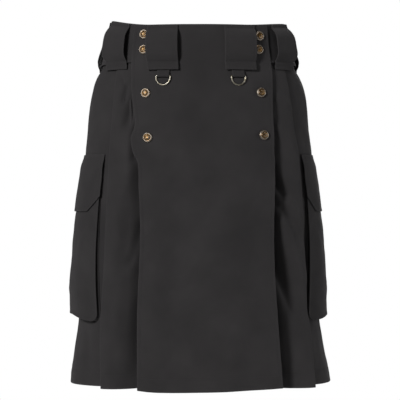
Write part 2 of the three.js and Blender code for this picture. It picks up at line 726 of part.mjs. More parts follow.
function pocketFaceWall(side) {
  const [front, back] = [[], []];
  for (const z of POCKET_LEVELS) {
    const edge = lookUp(POCKET_LINES, 'edge', z);
    const inset = pocketInset(z);
    const across = spread(edge + inset, edge + POCKET_WIDTH - inset, POCKET_COLUMNS);
    front.push(across.map((u) => offSide(side, u, z, pocketHeight(u, z) + CLOTH)));
    back.push(across.map((u) => offSide(side, u, z, pocketHeight(u, z))));
  }
  return closedWall(front, back);
}

// The bellows round the pocket's front, bottom and back edges, creased inward half way out.
function pocketGussetWall(side) {
  const route = [];
  for (const z of [...POCKET_EDGE_LEVELS].reverse()) route.push({ across: 0, z, inX: 1, inZ: 0 });
  for (const angle of [30, 60].map(THREE.MathUtils.degToRad)) {
    route.push({
      across: POCKET_CORNER * (1 - Math.cos(angle)),
      z: POCKET_BOTTOM_Z + POCKET_CORNER * (1 - Math.sin(angle)),
      inX: Math.cos(angle),
      inZ: Math.sin(angle),
    });
  }
  for (const across of spread(POCKET_CORNER, POCKET_WIDTH / 2, 5)) {
    route.push({ across, z: POCKET_BOTTOM_Z, inX: 0, inZ: 1 });
  }
  const mirror = (p) => ({ ...p, across: POCKET_WIDTH - p.across, inX: -p.inX });
  const mirrored = route.slice(0, -1).reverse().map(mirror);
  const stations = [
    { out: 0, crease: 0 },
    { out: 0.5, crease: POCKET_CREASE },
    { out: 1, crease: 0 },
  ];
  const gridAt = (depth) => stations.map(({ out, crease }) => [...route, ...mirrored].map((p) => {
    const inset = crease + depth;
    const z = p.z + p.inZ * inset;
    const u = lookUp(POCKET_LINES, 'edge', z) + p.across + p.inX * inset;
    const [low, high] = [LAYER_GAP + SEAM_GAP, pocketHeight(u, z) - LAYER_GAP];
    return offSide(side, u, z, low + (high - low) * out);
  }));
  return closedWall(gridAt(0), gridAt(CLOTH));
}

// The flap hangs from above the pocket over its mouth, with its lower corners cut off.
function pocketFlapWall(side) {
  const width = POCKET_WIDTH + 2 * FLAP_OVERHANG;
  const middle = spread(FLAP_CORNER, width - FLAP_CORNER, 9);
  const acrosses = [0, FLAP_CORNER / 2, ...middle, width - FLAP_CORNER / 2, width];
  const [front, back] = [[], []];
  for (const share of FLAP_SHARES) {
    const rows = acrosses.map((across) => {
      const toSide = Math.min(across, width - across);
      const bottom = FLAP_BOTTOM_Z + Math.max(FLAP_CORNER - toSide, 0);
      const z = FLAP_TOP_Z + (bottom - FLAP_TOP_Z) * share;
      const u = lookUp(POCKET_LINES, 'edge', z) - FLAP_OVERHANG + across;
      const over = pocketHeight(u, z) + CLOTH + LAYER_GAP + FLAP_PLAY;
      const height = LAYER_GAP + (over - LAYER_GAP) * smoothStep(FLAP_TOP_Z, POCKET_TOP_Z + SEAM_PLACE, z);
      return { u, z, height };
    });
    front.push(rows.map((p) => offSide(side, p.u, p.z, p.height + CLOTH)));
    back.push(rows.map((p) => offSide(side, p.u, p.z, p.height)));
  }
  return closedWall(front, back);
}

const group = new THREE.Group();
const materials = {
  cloth: new THREE.MeshStandardMaterial({ color: CLOTH_COLOUR, roughness: 0.92, metalness: 0 }),
  brass: new THREE.MeshStandardMaterial({ color: BRASS_COLOUR, roughness: 0.35, metalness: 1 }),
  copper: new THREE.MeshStandardMaterial({ color: COPPER_COLOUR, roughness: 0.4, metalness: 1 }),
};

function add(name, geometry, material) {
  const mesh = new THREE.Mesh(geometry, materials[material]);
  mesh.name = name;
  group.add(mesh);
  return mesh;
}

const SIDES = [
  { name: 'left', sign: -1 },
  { name: 'right', sign: 1 },
];

add('apron', apronWall(), 'cloth');
add('under_apron', underApronWall(), 'cloth');
add('waistband', waistbandWall(), 'cloth');
for (const { name, sign } of SIDES) {
  add(`front_panel_${name}`, frontPanelWall(sign), 'cloth');
  add(`side_panel_${name}`, sidePanelWall(sign), 'cloth');
  add(`back_panel_${name}`, backPanelWall(sign), 'cloth');
  add(`pocket_face_${name}`, pocketFaceWall(sign), 'cloth');
  add(`pocket_gusset_${name}`, pocketGussetWall(sign), 'cloth');
  add(`pocket_flap_${name}`, pocketFlapWall(sign), 'cloth');
  for (const loop of LOOPS) {
    add(`loop_${loop.name}_${name}`, loopWall({ ...loop, sign }), 'cloth');
  }
  const ringSpot = apronFrame(RING_PLACES[name], RING_Z, LAYER_GAP);
  putOn(add(`ring_tab_${name}`, tabGeometry(), 'cloth'), ringSpot);
  putOn(add(`d_ring_${name}`, dRingGeometry(), 'brass'), ringSpot);
  SNAPS[name].forEach(({ u, z }, i) => {
    const spot = apronFrame(u, z, SEAM_GAP);
    const snap = add(`snap_${name}_${i + 1}`, snapGeometry(), 'copper');
    snap.position.copy(spot.origin);
    snap.quaternion.setFromUnitVectors(new THREE.Vector3(0, 1, 0), spot.inward.clone().negate());
  });
}
add('loop_back', loopWall({ ...LOOPS[2], place: 1, sign: 1 }), 'cloth');

export default group;
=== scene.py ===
"""A utility kilt of charcoal cotton canvas, as worn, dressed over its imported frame.

Sizes are in millimetres until a mesh is made. A place on the skirt is given by u, the distance round it from
the front centre, positive towards +X, by z, the height above the waist, and by its depth inside the ring.
"""

import json
import math
from functools import partial

import bpy
import numpy as np
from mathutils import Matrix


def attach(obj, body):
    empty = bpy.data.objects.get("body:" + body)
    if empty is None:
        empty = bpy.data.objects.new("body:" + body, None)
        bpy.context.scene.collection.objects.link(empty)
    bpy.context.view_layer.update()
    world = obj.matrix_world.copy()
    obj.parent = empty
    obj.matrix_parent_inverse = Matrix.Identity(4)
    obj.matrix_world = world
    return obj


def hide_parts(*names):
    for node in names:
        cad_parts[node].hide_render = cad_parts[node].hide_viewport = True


MM = 0.001

CLOTH = 1.5
BAND_THICK = 2.4
STRAP_THICK = 2.0
SEAM_GAP = 0.3
LAYER_GAP = 0.5
LAYER = CLOTH + LAYER_GAP
FACE = CLOTH / 2
SEAM_PLACE = 3.0
FOLD_RADIUS = 1.0

HEM_Z = -581.0
PANEL_TOP_Z = -14.0
BAND_BOTTOM_Z = -36.0
EDGE_FRONT_Z = 26.0
EDGE_RISE = 11.5
EDGE_TILT = 3.0
EDGE_RISE_FROM = 75.0
EDGE_RISE_TO = 205.0
HEM_DEPTH = 22.0
STITCH_IN = 5.0
STEP = 3.4


def rows(names, *values):
    """A table with named columns. A column z, which curve follows, falls from row to row."""
    return {name: np.array(column, float) for name, column in zip(names.split(), zip(*values))}


# The outer face of the skirt at one height: half its width, and how far it reaches forward and back.
RING_POWER = 2.35
RINGS = rows(
    "z side front back",
    (45, 147, 105.5, 107.5),
    (0, 157, 112, 114),
    (-42, 168, 120, 124),
    (-57, 176, 123, 128),
    (-80, 183.5, 127, 134),
    (-110, 189, 131, 140),
    (-150, 192.5, 134, 144),
    (-190, 197, 137, 146),
    (-300, 202, 146, 151),
    (-480, 210, 160, 161),
    (-581, 225, 168, 171),
)
# The skirt hangs turned a little on the waist, and its hem leans a little to the same side.
TURN = rows(
    "z shift lean",
    (45, 4.5, 0),
    (-20, 4.5, 0),
    (-90, 8, 0),
    (-150, 10, 0),
    (-190, 12, 0.5),
    (-266, 14.8, 0.5),
    (-435, 14.8, 0.5),
    (-581, 16.6, 3.5),
)
FRONT_LINES = rows(
    "z apron inner pleat",
    (45, 112, 108, 148),
    (-14, 117, 110, 150),
    (-57, 119.5, 113, 154),
    (-125, 117, 112, 161),
    (-187, 116, 112.5, 170),
    (-256, 113, 113.5, 176),
    (-336, 112.5, 117, 180),
    (-406, 113, 120, 182.5),
    (-480, 116, 124.5, 187.5),
    (-581, 119, 129, 184.5),
)
FRONT_PLEATS = rows(
    "z inner_depth inner_run pleat_depth pleat_run panel_out",
    (-14, 0, 17, 0, 20, 0),
    (-150, 0, 17, 1, 20, 0),
    (-200, 2, 15, 4, 19, 0.5),
    (-300, 14, 8, 9, 17, 1.5),
    (-400, 28, 2, 16, 14, 3),
    (-500, 40, -3, 24, 12, 6),
    (-581, 49, -7, 30, 10, 9),
)
BACK_PLEATS = 4
BACK_LINES = rows(
    "z start drop run",
    (-14, 292, 2 * LAYER, 22),
    (-85, 332, 2 * LAYER, 22),
    (-150, 357, 2 * LAYER, 22),
    (-200, 369, 5, 21),
    (-300, 381, 9, 19),
    (-450, 396, 16, 15),
    (-581, 420, 22, 12),
)
POCKET_WIDTH = 168.0
POCKET_TOP_Z = -216.0
POCKET_BOTTOM_Z = -474.0
POCKET_CORNER = 16.0
FLAP_TOP_Z = -191.0
FLAP_BOTTOM_Z = -287.0
FLAP_CORNER = 26.0
FLAP_OVERHANG = 4.0
POCKET_LINES = rows(
    "z edge out",
    (-191, 189, 1),
    (-216, 193, 1.4),
    (-236, 196, 3.8),
    (-260, 200, 6),
    (-300, 204, 9.5),
    (-350, 208, 13),
    (-407, 210, 15),
    (-450, 211, 14),
    (-474, 212, 12),
)
# The apron's hem isn't level: how far it drops from place to place. Here z stands for u.
APRON_HEM = rows("z drop", (130, -3), (60, 0.2), (20, 2), (-40, 3), (-90, 3), (-130, -1))

# The apron's edges aren't quite straight: how much further out each lies.
APRON_EDGES = rows(
    "z left right",
    (-60, 0, 0),
    (-95, 1.2, -0.6),
    (-138, -1.5, 0.4),
    (-150, 1.5, 1.2),
    (-164, 7.5, 0.6),
    (-188, 6, -0.6),
    (-204, -1, 0.4),
    (-250, 0.8, 0.8),
    (-330, -1, -0.8),
    (-420, 0.8, 0.6),
    (-500, 0, 0),
)

# The largest folds: a line from one point to another. depth above 0 is a trough and below 0 a ridge.
FOLD_NAMES = "u1 z1 u2 z2 reach depth"
FOLDS = {
    "right": rows(
        FOLD_NAMES,
        (113, -168, 168, -285, 9, 4),
        (118, -225, 176, -345, 10, 5),
        (120, -330, 184, -470, 12, 6),
        (122, -200, 172, -318, 9, -3),
        (124, -285, 180, -410, 11, -4),
        (126, -90, 160, -118, 8, -3),
        (124, -140, 164, -186, 10, -3.5),
    ),
    "left": rows(
        FOLD_NAMES,
        (-120, -140, -134, -235, 11, -5),
        (-128, -250, -150, -390, 12, 4),
        (-128, -470, -140, -600, 13, 5),
        (-144, -76, -156, -132, 8, -2.5),
    ),
    "apron": rows(
        FOLD_NAMES,
        (66, -230, -30, -400, 26, -6),
        (-60, -190, -58, -560, 24, 4.5),
        (74, -330, 60, -590, 22, 3.5),
    ),
}
# Smaller creases, which the worn cloth has all over: uneven in length, depth and distance.
CREASES = {
    "apron": rows(
        FOLD_NAMES,
        (-95, -28, -92, -56, 2.4, 3.2),
        (-90, -30, -84, -50, 2.2, 2.2),
        (-100, -28, -104, -48, 2.4, 2.0),
        (96, -27, 97, -52, 2.4, 3.0),
        (102, -26, 106, -45, 2.4, 2.2),
        (90, -30, 89, -47, 2.2, 1.6),
        (-99, -99, -106, -122, 4, 0.8),
        (99, -98, 104, -124, 4, 0.8),
        (-70, -74, -108, -118, 9, -0.8),
        (94, -170, 38, -262, 12, 1.1),
        (100, -180, 84, -300, 9, -0.8),
        (-94, -168, -70, -250, 11, 0.8),
        (20, -62, -46, -84, 10, 0.6),
        (52, -96, 84, -128, 9, 0.6),
        (-20, -330, -52, -440, 14, -1.1),
        (30, -420, 8, -560, 15, 1.2),
        (-92, -380, -84, -520, 12, -1.0),
        (96, -420, 104, -570, 9, 1.0),
        (10, -150, 60, -210, 14, 0.7),
    ),
    "left": rows(
        FOLD_NAMES,
        (-118, -88, -140, -112, 5, 1.0),
        (-122, -60, -146, -80, 5, -0.8),
        (-120, -176, -160, -214, 7, 1.0),
        (-124, -212, -150, -262, 7, -1.4),
        (-150, -50, -133, -76, 3.6, 8),
        (-131, -72, -139, -106, 3.6, 8),
        (-124, -98, -135, -150, 7, 10),
        (-117, -140, -127, -206, 6, 12),
        (-118, -300, -138, -380, 6, 5),
        (-118, -90, -142, -148, 5, 5),
        (-122, -430, -136, -560, 8, 6),
        (-166, -260, -152, -350, 8, -1.1),
        (-146, -400, -170, -520, 9, -1.4),
        (-172, -420, -160, -570, 7, 1.2),
    ),
    "right": rows(
        FOLD_NAMES,
        (110, -208, 150, -268, 7.5, 12),
        (110, -258, 170, -318, 8, 6),
        (108, -334, 166, -468, 12, 15),
        (116, -66, 146, -88, 5, 0.9),
        (122, -116, 158, -146, 6, 1.1),
        (118, -190, 160, -240, 6, -1.4),
        (130, -300, 178, -372, 5, 1.0),
        (126, -392, 176, -520, 8, -1.8),
        (140, -360, 184, -440, 6, 1.2),
        (132, -500, 172, -576, 8, 1.3),
    ),
    "side": rows(
        FOLD_NAMES,
        (178, -60, 212, -108, 10, 1.0),
        (236, -56, 214, -128, 10, -1.0),
        (262, -70, 290, -120, 9, 0.9),
        (178, -128, 236, -172, 9, -0.9),
        (196, -300, 190, -420, 8, 1.0),
        (196, -478, 204, -560, 9, -1.2),
        (246, -486, 238, -572, 12, 1.4),
        (300, -490, 312, -576, 13, -1.3),
        (350, -486, 346, -566, 11, 1.3),
        (392, -380, 398, -540, 9, -1.0),
    ),
    "back": rows(
        FOLD_NAMES,
        (320, -60, 352, -104, 9, 0.8),
        (366, -70, 402, -132, 10, -0.8),
        (398, -300, 408, -440, 8, 0.9),
        (432, -250, 430, -380, 8, -0.8),
        (452, -420, 462, -570, 9, 1.0),
        (486, -300, 480, -470, 8, 0.8),
        (430, -470, 444, -576, 8, -0.9),
    ),
    "pocket": rows(
        FOLD_NAMES,
        (226, -300, 262, -356, 9, 1.1),
        (300, -318, 348, -352, 10, 1.0),
        (236, -392, 300, -430, 10, -1.1),
        (318, -372, 352, -440, 9, 1.2),
        (220, -440, 244, -468, 7, -0.9),
        (286, -264, 268, -330, 9, -0.9),
    ),
    "flap": rows(
        FOLD_NAMES,
        (214, -214, 252, -262, 8, 0.8),
        (332, -212, 310, -270, 9, 0.9),
        (270, -200, 284, -280, 10, -0.7),
    ),
}
TROUGH_FROM_Z = -170.0
TROUGH_FULL_Z = -270.0
FOLD_FADE = 12.0

APRON_PLAY = 1.0
APRON_SETTLE = 60.0
APRON_EDGE_LIFT = 5.0
APRON_EDGE_FROM = 60.0
APRON_LIFT_FROM_Z = -300.0
APRON_LIFT_FULL_Z = -560.0
UNDER_SINK = 70.0
UNDER_SINK_END_Z = -760.0
UNDER_APRON = ((0.22, 0), (0.44, 0), (0.66, 0.5), (0.86, 1))
SIDE_FROM_FRONT = 115.0
SIDE_FROM_BACK = 85.0
SIDE_CURVE = 1.6

LOOP_WIDTH = 50.0
LOOP_STAND_OFF = 8.5
LOOP_GAP = 0.9
LOOP_TOP_GAP = 0.5
RING_WIRE = 2.6
RING_WIDTH = 26.5
RING_DROP = 17.0
RING_Z = -61.0
RING_CORNER = 2.5
RING_REST_GAP = 0.4
TAB_WIDTH = 20.0
TAB_CLOTH = 1.2
TAB_CLEARANCE = 0.3
TAB_RISE = 14.0
RING_PLACES = {"left": -64.3, "right": 59.0}
BAR_OUT = RING_WIRE / 2 + TAB_CLEARANCE + TAB_CLOTH
SNAP_RADIUS = 8.5
SNAP_HEIGHT = 3.6
SNAPS = {
    "left": ((-95.6, 10.5), (-96, -15.5), (-96, -89.5), (-95.3, -163.8)),
    "right": ((98.5, 8), (97, -15), (97, -88.3), (99, -159.5)),
}

STITCH_PITCH = 3.2
STITCH_LENGTH = 2.3
THREAD_RADIUS = 0.28


def curve(table, column, z):
    """One column of a table at heights z, on a smooth curve through its rows."""
    z = np.asarray(z, float)
    level, value = table["z"], table[column]
    last = len(level) - 1
    i = np.clip(np.searchsorted(-level, -z, side="right") - 1, 0, last - 1)
    before = np.maximum(np.arange(last + 1) - 1, 0)
    after = np.minimum(np.arange(last + 1) + 1, last)
    slope = (value[after] - value[before]) / (level[after] - level[before])
    span = level[i + 1] - level[i]
    t = np.clip((z - level[i]) / span, 0, 1)
    start = (2 * t**3 - 3 * t**2 + 1) * value[i] + (t**3 - 2 * t**2 + t) * span * slope[i]
    return start + (3 * t**2 - 2 * t**3) * value[i + 1] + (t**3 - t**2) * span * slope[i + 1]


def smooth_step(start, end, x):
    t = np.clip((np.asarray(x, float) - start) / (end - start), 0, 1)
    return t * t * (3 - 2 * t)


def ring_point(angle, z):
    """A point of the ring at height z, by its angle from the front centre."""
    side, front, back = (curve(RINGS, name, z) for name in ("side", "front", "back"))
    cosine = np.cos(angle)
    x = side * np.maximum(np.sin(angle), 0) ** (2 / RING_POWER)
    y = -np.sign(cosine) * np.where(cosine > 0, front, back) * np.abs(cosine) ** (2 / RING_POWER)
    return x, y


LEVEL_STEP = 4.0
LEVELS = np.arange(-640.0, 61.0, LEVEL_STEP)
SHARES = np.linspace(0, 1, 721)


def measure_rings():
    """Half the way round the ring at each level, and the angle at each share of that way."""
    angles = np.linspace(0, math.pi, 1441)
    x, y = ring_point(angles[None, :], LEVELS[:, None])
    steps = np.hypot(np.diff(x, axis=1), np.diff(y, axis=1))
    arcs = np.concatenate([np.zeros((len(LEVELS), 1)), np.cumsum(steps, axis=1)], axis=1)
    return arcs[:, -1], np.array([np.interp(SHARES * arc[-1], arc, angles) for arc in arcs])


HALF_WAY, RING_ANGLES = measure_rings()


def half_way(z):
    return np.interp(z, LEVELS, HALF_WAY)


def place(u, z, depth):
    """Points by their place on the skirt: distance round it, height, and depth inside the ring."""
    u, z, depth = np.broadcast_arrays(*(np.asarray(value, float) for value in (u, z, depth)))
    half = half_way(z)
    arc = (u + curve(TURN, "shift", z) + half) % (2 * half) - half
    column = np.minimum(np.abs(arc) / half, 1) * (len(SHARES) - 1)
    row = (z - LEVELS[0]) / LEVEL_STEP
    low_row = np.clip(row.astype(int), 0, len(LEVELS) - 2)
    low_column = np.clip(column.astype(int), 0, len(SHARES) - 2)
    down, along = row - low_row, column - low_column
    near, far = (
        (1 - along) * RING_ANGLES[level, low_column] + along * RING_ANGLES[level, low_column + 1]
        for level in (low_row, low_row + 1)
    )
    angle = (1 - down) * near + down * far
    x, y = ring_point(angle, z)
    side = curve(RINGS, "side", z)
    reach = np.where(y < 0, curve(RINGS, "front", z), curve(RINGS, "back", z))
    out_x = np.abs(x / side) ** (RING_POWER - 1) / side
    out_y = np.sign(y) * np.abs(y / reach) ** (RING_POWER - 1) / reach
    size = np.hypot(out_x, out_y)
    mirror = np.where(arc < 0, -1.0, 1.0)
    lean = curve(TURN, "lean", z)
    return np.stack([mirror * (x - out_x / size * depth) + lean, y - out_y / size * depth, z], axis=-1)


def line_relief(table, u, z):
    """How far a table's folds move the cloth inward, with the troughs and the ridges apart."""
    u, z = np.broadcast_arrays(np.asarray(u, float), np.asarray(z, float))
    trough, ridge = np.zeros(u.shape), np.zeros(u.shape)
    for u1, z1, u2, z2, reach, depth in zip(*(table[name] for name in FOLD_NAMES.split())):
        du, dz = u2 - u1, z2 - z1
        length = math.hypot(du, dz)
        along = ((u - u1) * du + (z - z1) * dz) / length
        across = ((u - u1) * dz - (z - z1) * du) / length
        fade = smooth_step(-reach, 2 * reach, along) * smooth_step(-reach, 2 * reach, length - along)
        shape = depth * fade * np.exp(-((across / reach) ** 2))
        if depth > 0:
            trough += shape
        else:
            ridge += shape
    return trough, ridge


RUMPLE_LENGTHS = (95, 70, 52, 40, 31, 24, 19, 15)
RUMPLE_SLOPE = 0.0034
RUMPLE_BEND = 0.4


def rumple(u, z, seed, size=1.0):
    """Soft unevenness of worn cloth, from waves of many lengths and directions."""
    chance = np.random.default_rng(seed)
    total = np.zeros(np.broadcast(u, z).shape)
    for length in RUMPLE_LENGTHS:
        way = chance.uniform(0, math.pi)
        phase = chance.uniform(0, 2 * math.pi)
        bend = chance.uniform(-RUMPLE_BEND, RUMPLE_BEND)
        wave = (u * math.cos(way) + z * math.sin(way)) / length
        turn = 2 * math.pi * wave + phase + bend * np.sin(u / 37 + z / 51 + phase)
        total += RUMPLE_SLOPE * length * np.sin(turn)
    return size * total


PUCKER_PITCH = 8.5


def pucker(along, across, seed, size=0.32, reach=6.0):
    """Small ripples beside a seam, uneven in spacing, which fade a little way from it."""
    chance = np.random.default_rng(seed)
    shift = chance.uniform(0, 20)
    wave = along / PUCKER_PITCH + 0.8 * np.sin(along / 23 + shift) + 0.5 * np.sin(along / 41 + 2 * shift)
    strength = 0.6 + 0.4 * np.sin(along / 33 + shift)
    return size * strength * np.sin(2 * math.pi * wave) * np.exp(-((across / reach) ** 2))


def line(column, z):
    return curve(FRONT_LINES, column, z)


def pleat(column, z):
    return curve(FRONT_PLEATS, column, np.minimum(z, PANEL_TOP_Z))


def top_edge(u):
    """The top edge rises from the front to the back, and more on the left."""
    way = u + TURN["shift"][0]
    tilt = EDGE_TILT * np.sin(math.pi * way / half_way(EDGE_FRONT_Z))
    return EDGE_FRONT_Z + (EDGE_RISE - tilt) * smooth_step(EDGE_RISE_FROM, EDGE_RISE_TO, np.abs(way))


def fold_depth(panel, u, z):
    trough, ridge = line_relief(FOLDS[panel], u, z)
    room = 1 if panel == "apron" else smooth_step(TROUGH_FROM_Z, TROUGH_FULL_Z, z)
    return trough * room + ridge


def apron_depth(u, z):
    """The middle of the apron's cloth: over the waistband at the top, closer to the skirt below it."""
    over_band = -(LAYER_GAP + BAND_THICK + LAYER_GAP + FACE)
    below = -(LAYER + APRON_PLAY)
    settle = smooth_step(BAND_BOTTOM_Z, BAND_BOTTOM_Z - APRON_SETTLE, z)
    at_edge = smooth_step(APRON_EDGE_FROM, line("apron", HEM_Z), np.abs(u))
    edge_lift = APRON_EDGE_LIFT * at_edge * smooth_step(APRON_LIFT_FROM_Z, APRON_LIFT_FULL_Z, z)
    return over_band + (below - over_band) * settle - edge_lift + fold_depth("apron", u, z)


def back_pleats(z):
    start, drop, run = (curve(BACK_LINES, name, z) for name in ("start", "drop", "run"))
    pitch = (half_way(z) - start) / BACK_PLEATS
    return start, drop, run, pitch, drop / pitch


def side_depth(u, z):
    """The middle of the side panel's cloth, which lies deep beside the pleats that cover its edges."""
    start, drop = back_pleats(z)[:2]
    front_deep = 2 * LAYER + pleat("pleat_depth", z)
    from_front = np.clip((u - line("pleat", z)) / SIDE_FROM_FRONT, 0, 1)
    from_back = np.clip((start - u) / SIDE_FROM_BACK, 0, 1)
    return FACE + front_deep * (1 - from_front) ** SIDE_CURVE + drop * (1 - from_back) ** SIDE_CURVE


def spaced(start, end, step, *extra):
    """Numbers from start to end about a step apart, with extra ones among them."""
    even = np.linspace(start, end, max(int(round(abs(end - start) / step)), 1) + 1)
    wanted = np.array([value for value in extra if min(start, end) < value < max(start, end)])
    if len(wanted):
        even = even[[min(abs(value - wanted)) > 0.35 * step or value in (start, end) for value in even]]
    return np.unique(np.concatenate([even, wanted]))


HEM_STITCH_Z = HEM_Z + HEM_DEPTH
SKIRT_LEVELS = spaced(
    HEM_Z, PANEL_TOP_Z, STEP, HEM_Z + 1, HEM_STITCH_Z - 1.4, HEM_STITCH_Z, HEM_STITCH_Z + 1.4
)
HEM_PROUD = 0.35
EDGE_PROUD = 0.3
GROOVE_DEPTH = 0.3
GROOVE_WIDTH = 1.6


def hem_relief(z):
    """The turned-up hem stands a little proud, and its stitch line lies in a groove."""
    above = z - HEM_STITCH_Z
    return -HEM_PROUD * smooth_step(1.5, -1.5, above) + GROOVE_DEPTH * np.exp(-((above / GROOVE_WIDTH) ** 2))


def turned_edge(distance, width):
    """A turned and stitched edge, by the distance from it: a little proud, with its stitches in a groove."""
    inside = distance - width
    return -EDGE_PROUD * smooth_step(1.4, -1.4, inside) + GROOVE_DEPTH * np.exp(-((inside / 1.5) ** 2))


CORNER_SHARES = (0, 0.33, 0.67, 1)


def rounded(points):
    """A section's line from corner points (u, depth, radius, cuts), with its corners rounded.

    The way from each corner to the next one is cut evenly into as many stretches as its cuts say.
    """
    places = [np.array(point[:2], float) for point in points]
    corners = []
    for i, here in enumerate(places):
        radius = points[i][2]
        if not radius or i in (0, len(places) - 1):
            corners.append([here])
            continue
        ends = []
        for other in (places[i - 1], places[i + 1]):
            size = np.hypot(*(other - here))
            ends.append(here + (other - here) / size * min(radius, size / 2.05))
        start, end = ends
        corners.append([(1 - t) ** 2 * start + 2 * t * (1 - t) * here + t * t * end for t in CORNER_SHARES])
    dense = []
    for i, corner in enumerate(corners):
        dense += corner
        if i < len(corners) - 1:
            start, end = corner[-1], corners[i + 1][0]
            cuts = points[i][3]
            dense += [start + (end - start) * share for share in np.arange(1, cuts) / cuts]
    return np.array(dense)


def stop_before(start, end, length):
    """The point on the way from one place to another that is a length short of it."""
    start, end = np.array(start, float), np.array(end, float)
    whole = np.hypot(*(end - start))
    return start + (end - start) * (whole - length) / whole


EDGE_ROUNDING = 0.42
WORN_EDGE = 1.8
WORN_FOLD = 1.6


class Cloth:
    """A wall of cloth over a grid of points: its outer face, its inner face and its flat size."""

    def __init__(self, middle, thickness):
        along = np.gradient(middle, axis=1)
        up = np.gradient(middle, axis=0)
        normal = np.cross(along, up)
        normal /= np.linalg.norm(normal, axis=-1, keepdims=True)
        self.normal = normal
        self.outer = middle + normal * thickness / 2
        self.inner = middle - normal * thickness / 2
        steps = np.linalg.norm(np.diff(middle, axis=1), axis=-1)
        rises = np.linalg.norm(np.diff(middle, axis=0), axis=-1)
        self.across = np.concatenate([np.zeros((len(middle), 1)), np.cumsum(steps, axis=1)], axis=1)
        self.rise = np.concatenate([np.zeros((1, middle.shape[1])), np.cumsum(rises, axis=0)], axis=0)
        self.middle = middle
        self.thickness = thickness

    @property
    def flat(self):
        return float(self.across[:, -1].max()) * MM, float(self.rise[-1].max()) * MM

    @property
    def area(self):
        wide = np.diff(self.across, axis=1)
        tall = np.diff(self.rise, axis=0)
        return float(((wide[1:] + wide[:-1]) / 2 * (tall[:, 1:] + tall[:, :-1]) / 2).sum()) * MM * MM

    def worn(self):
        """How worn each point is, from 0 to 1: most at the cloth's edges and along its folds."""
        from_side = np.minimum(self.across, self.across[:, -1:] - self.across)
        from_end = np.minimum(self.rise, self.rise[-1:] - self.rise)
        edge = np.exp(-((np.minimum(from_side, from_end) / WORN_EDGE) ** 2))
        turn = np.linalg.norm(np.gradient(self.normal, axis=1), axis=-1)
        step = np.gradient(self.across, axis=1)
        fold = np.clip(turn / np.maximum(step, 0.2) * WORN_FOLD, 0, 1)
        return np.clip(np.maximum(edge, fold), 0, 1)

    def rim(self):
        """The grid places round the edge, in order."""
        last_row, last_column = self.middle.shape[0] - 1, self.middle.shape[1] - 1
        places = [(0, c) for c in range(last_column + 1)]
        places += [(r, last_column) for r in range(1, last_row + 1)]
        places += [(last_row, c) for c in range(last_column - 1, -1, -1)]
        places += [(r, 0) for r in range(last_row - 1, 0, -1)]
        return places

    def mesh(self, name, material):
        """The closed wall, with a rounded edge, and the flat cloth as its UV map."""
        rim = self.rim()
        out = []
        for r, c in rim:
            way = np.zeros(3)
            for grid_line, i in ((self.middle[:, c], r), (self.middle[r], c)):
                if i == 0:
                    way += grid_line[0] - grid_line[1]
                if i == len(grid_line) - 1:
                    way += grid_line[-1] - grid_line[-2]
            way /= max(np.linalg.norm(way), 1e-9)
            out.append(self.middle[r, c] + way * self.thickness * EDGE_ROUNDING)
        points = np.concatenate([self.outer.reshape(-1, 3), self.inner.reshape(-1, 3), np.array(out)]) * MM
        at = np.arange(self.across.size).reshape(self.across.shape)
        front = np.stack([at[:-1, :-1], at[:-1, 1:], at[1:, 1:], at[1:, :-1]], axis=-1).reshape(-1, 4)
        back = front[:, ::-1] + at.size
        edge = np.array([at[spot] for spot in rim])
        following = np.roll(edge, -1)
        between = 2 * at.size + np.arange(len(rim))
        beyond = np.roll(between, -1)
        outer_rim = np.stack([following, edge, between, beyond], axis=-1)
        inner_rim = np.stack([beyond, between, edge + at.size, following + at.size], axis=-1)
        faces = np.concatenate([front, back, outer_rim, inner_rim])
        flat = np.stack([self.across, self.rise], axis=-1).reshape(-1, 2) * MM
        flat = np.concatenate([flat, flat, flat[edge]])
        worn = self.worn().ravel()
        worn = np.concatenate([worn, worn, np.ones(len(rim))])
        return make_mesh(name, points, faces.tolist(), material, flat, worn)

    def surface(self, row, column):
        """Points and outward directions on the outer face, at places on or between the grid's lines."""
        row, column = np.broadcast_arrays(np.asarray(row, float), np.asarray(column, float))
        r = np.clip(row.astype(int), 0, self.middle.shape[0] - 2)
        c = np.clip(column.astype(int), 0, self.middle.shape[1] - 2)
        down, on = (row - r)[..., None], (column - c)[..., None]
        found = []
        for grid in (self.outer, self.normal):
            near = (1 - on) * grid[r, c] + on * grid[r, c + 1]
            far = (1 - on) * grid[r + 1, c] + on * grid[r + 1, c + 1]
            found.append((1 - down) * near + down * far)
        return found


def make_mesh(name, points, faces, material, flat=None, worn=None):
    """A smooth mesh from points in metres, with its UV map and how worn each point is, where given. On the
    snaps this value also holds a painted highlight round the rim.
    """
    mesh = bpy.data.meshes.new(name)
    mesh.from_pydata(points.tolist(), [], faces)
    if flat is not None:
        layer = mesh.uv_layers.new(name="flat")
        corner = np.empty(len(mesh.loops), dtype=np.int32)
        mesh.loops.foreach_get("vertex_index", corner)
        layer.data.foreach_set("uv", flat[corner].ravel())
    if worn is not None:
        mesh.attributes.new("worn", "FLOAT", "POINT").data.foreach_set("value", worn)
    mesh.polygons.foreach_set("use_smooth", [True] * len(mesh.polygons))
    mesh.materials.append(material)
    mesh.update()
    piece = bpy.data.objects.new(name, mesh)
    bpy.context.scene.collection.objects.link(piece)
    return piece


def nearest(values, wanted):
    return int(np.argmin(np.abs(np.asarray(values) - wanted)))


THREADS = []


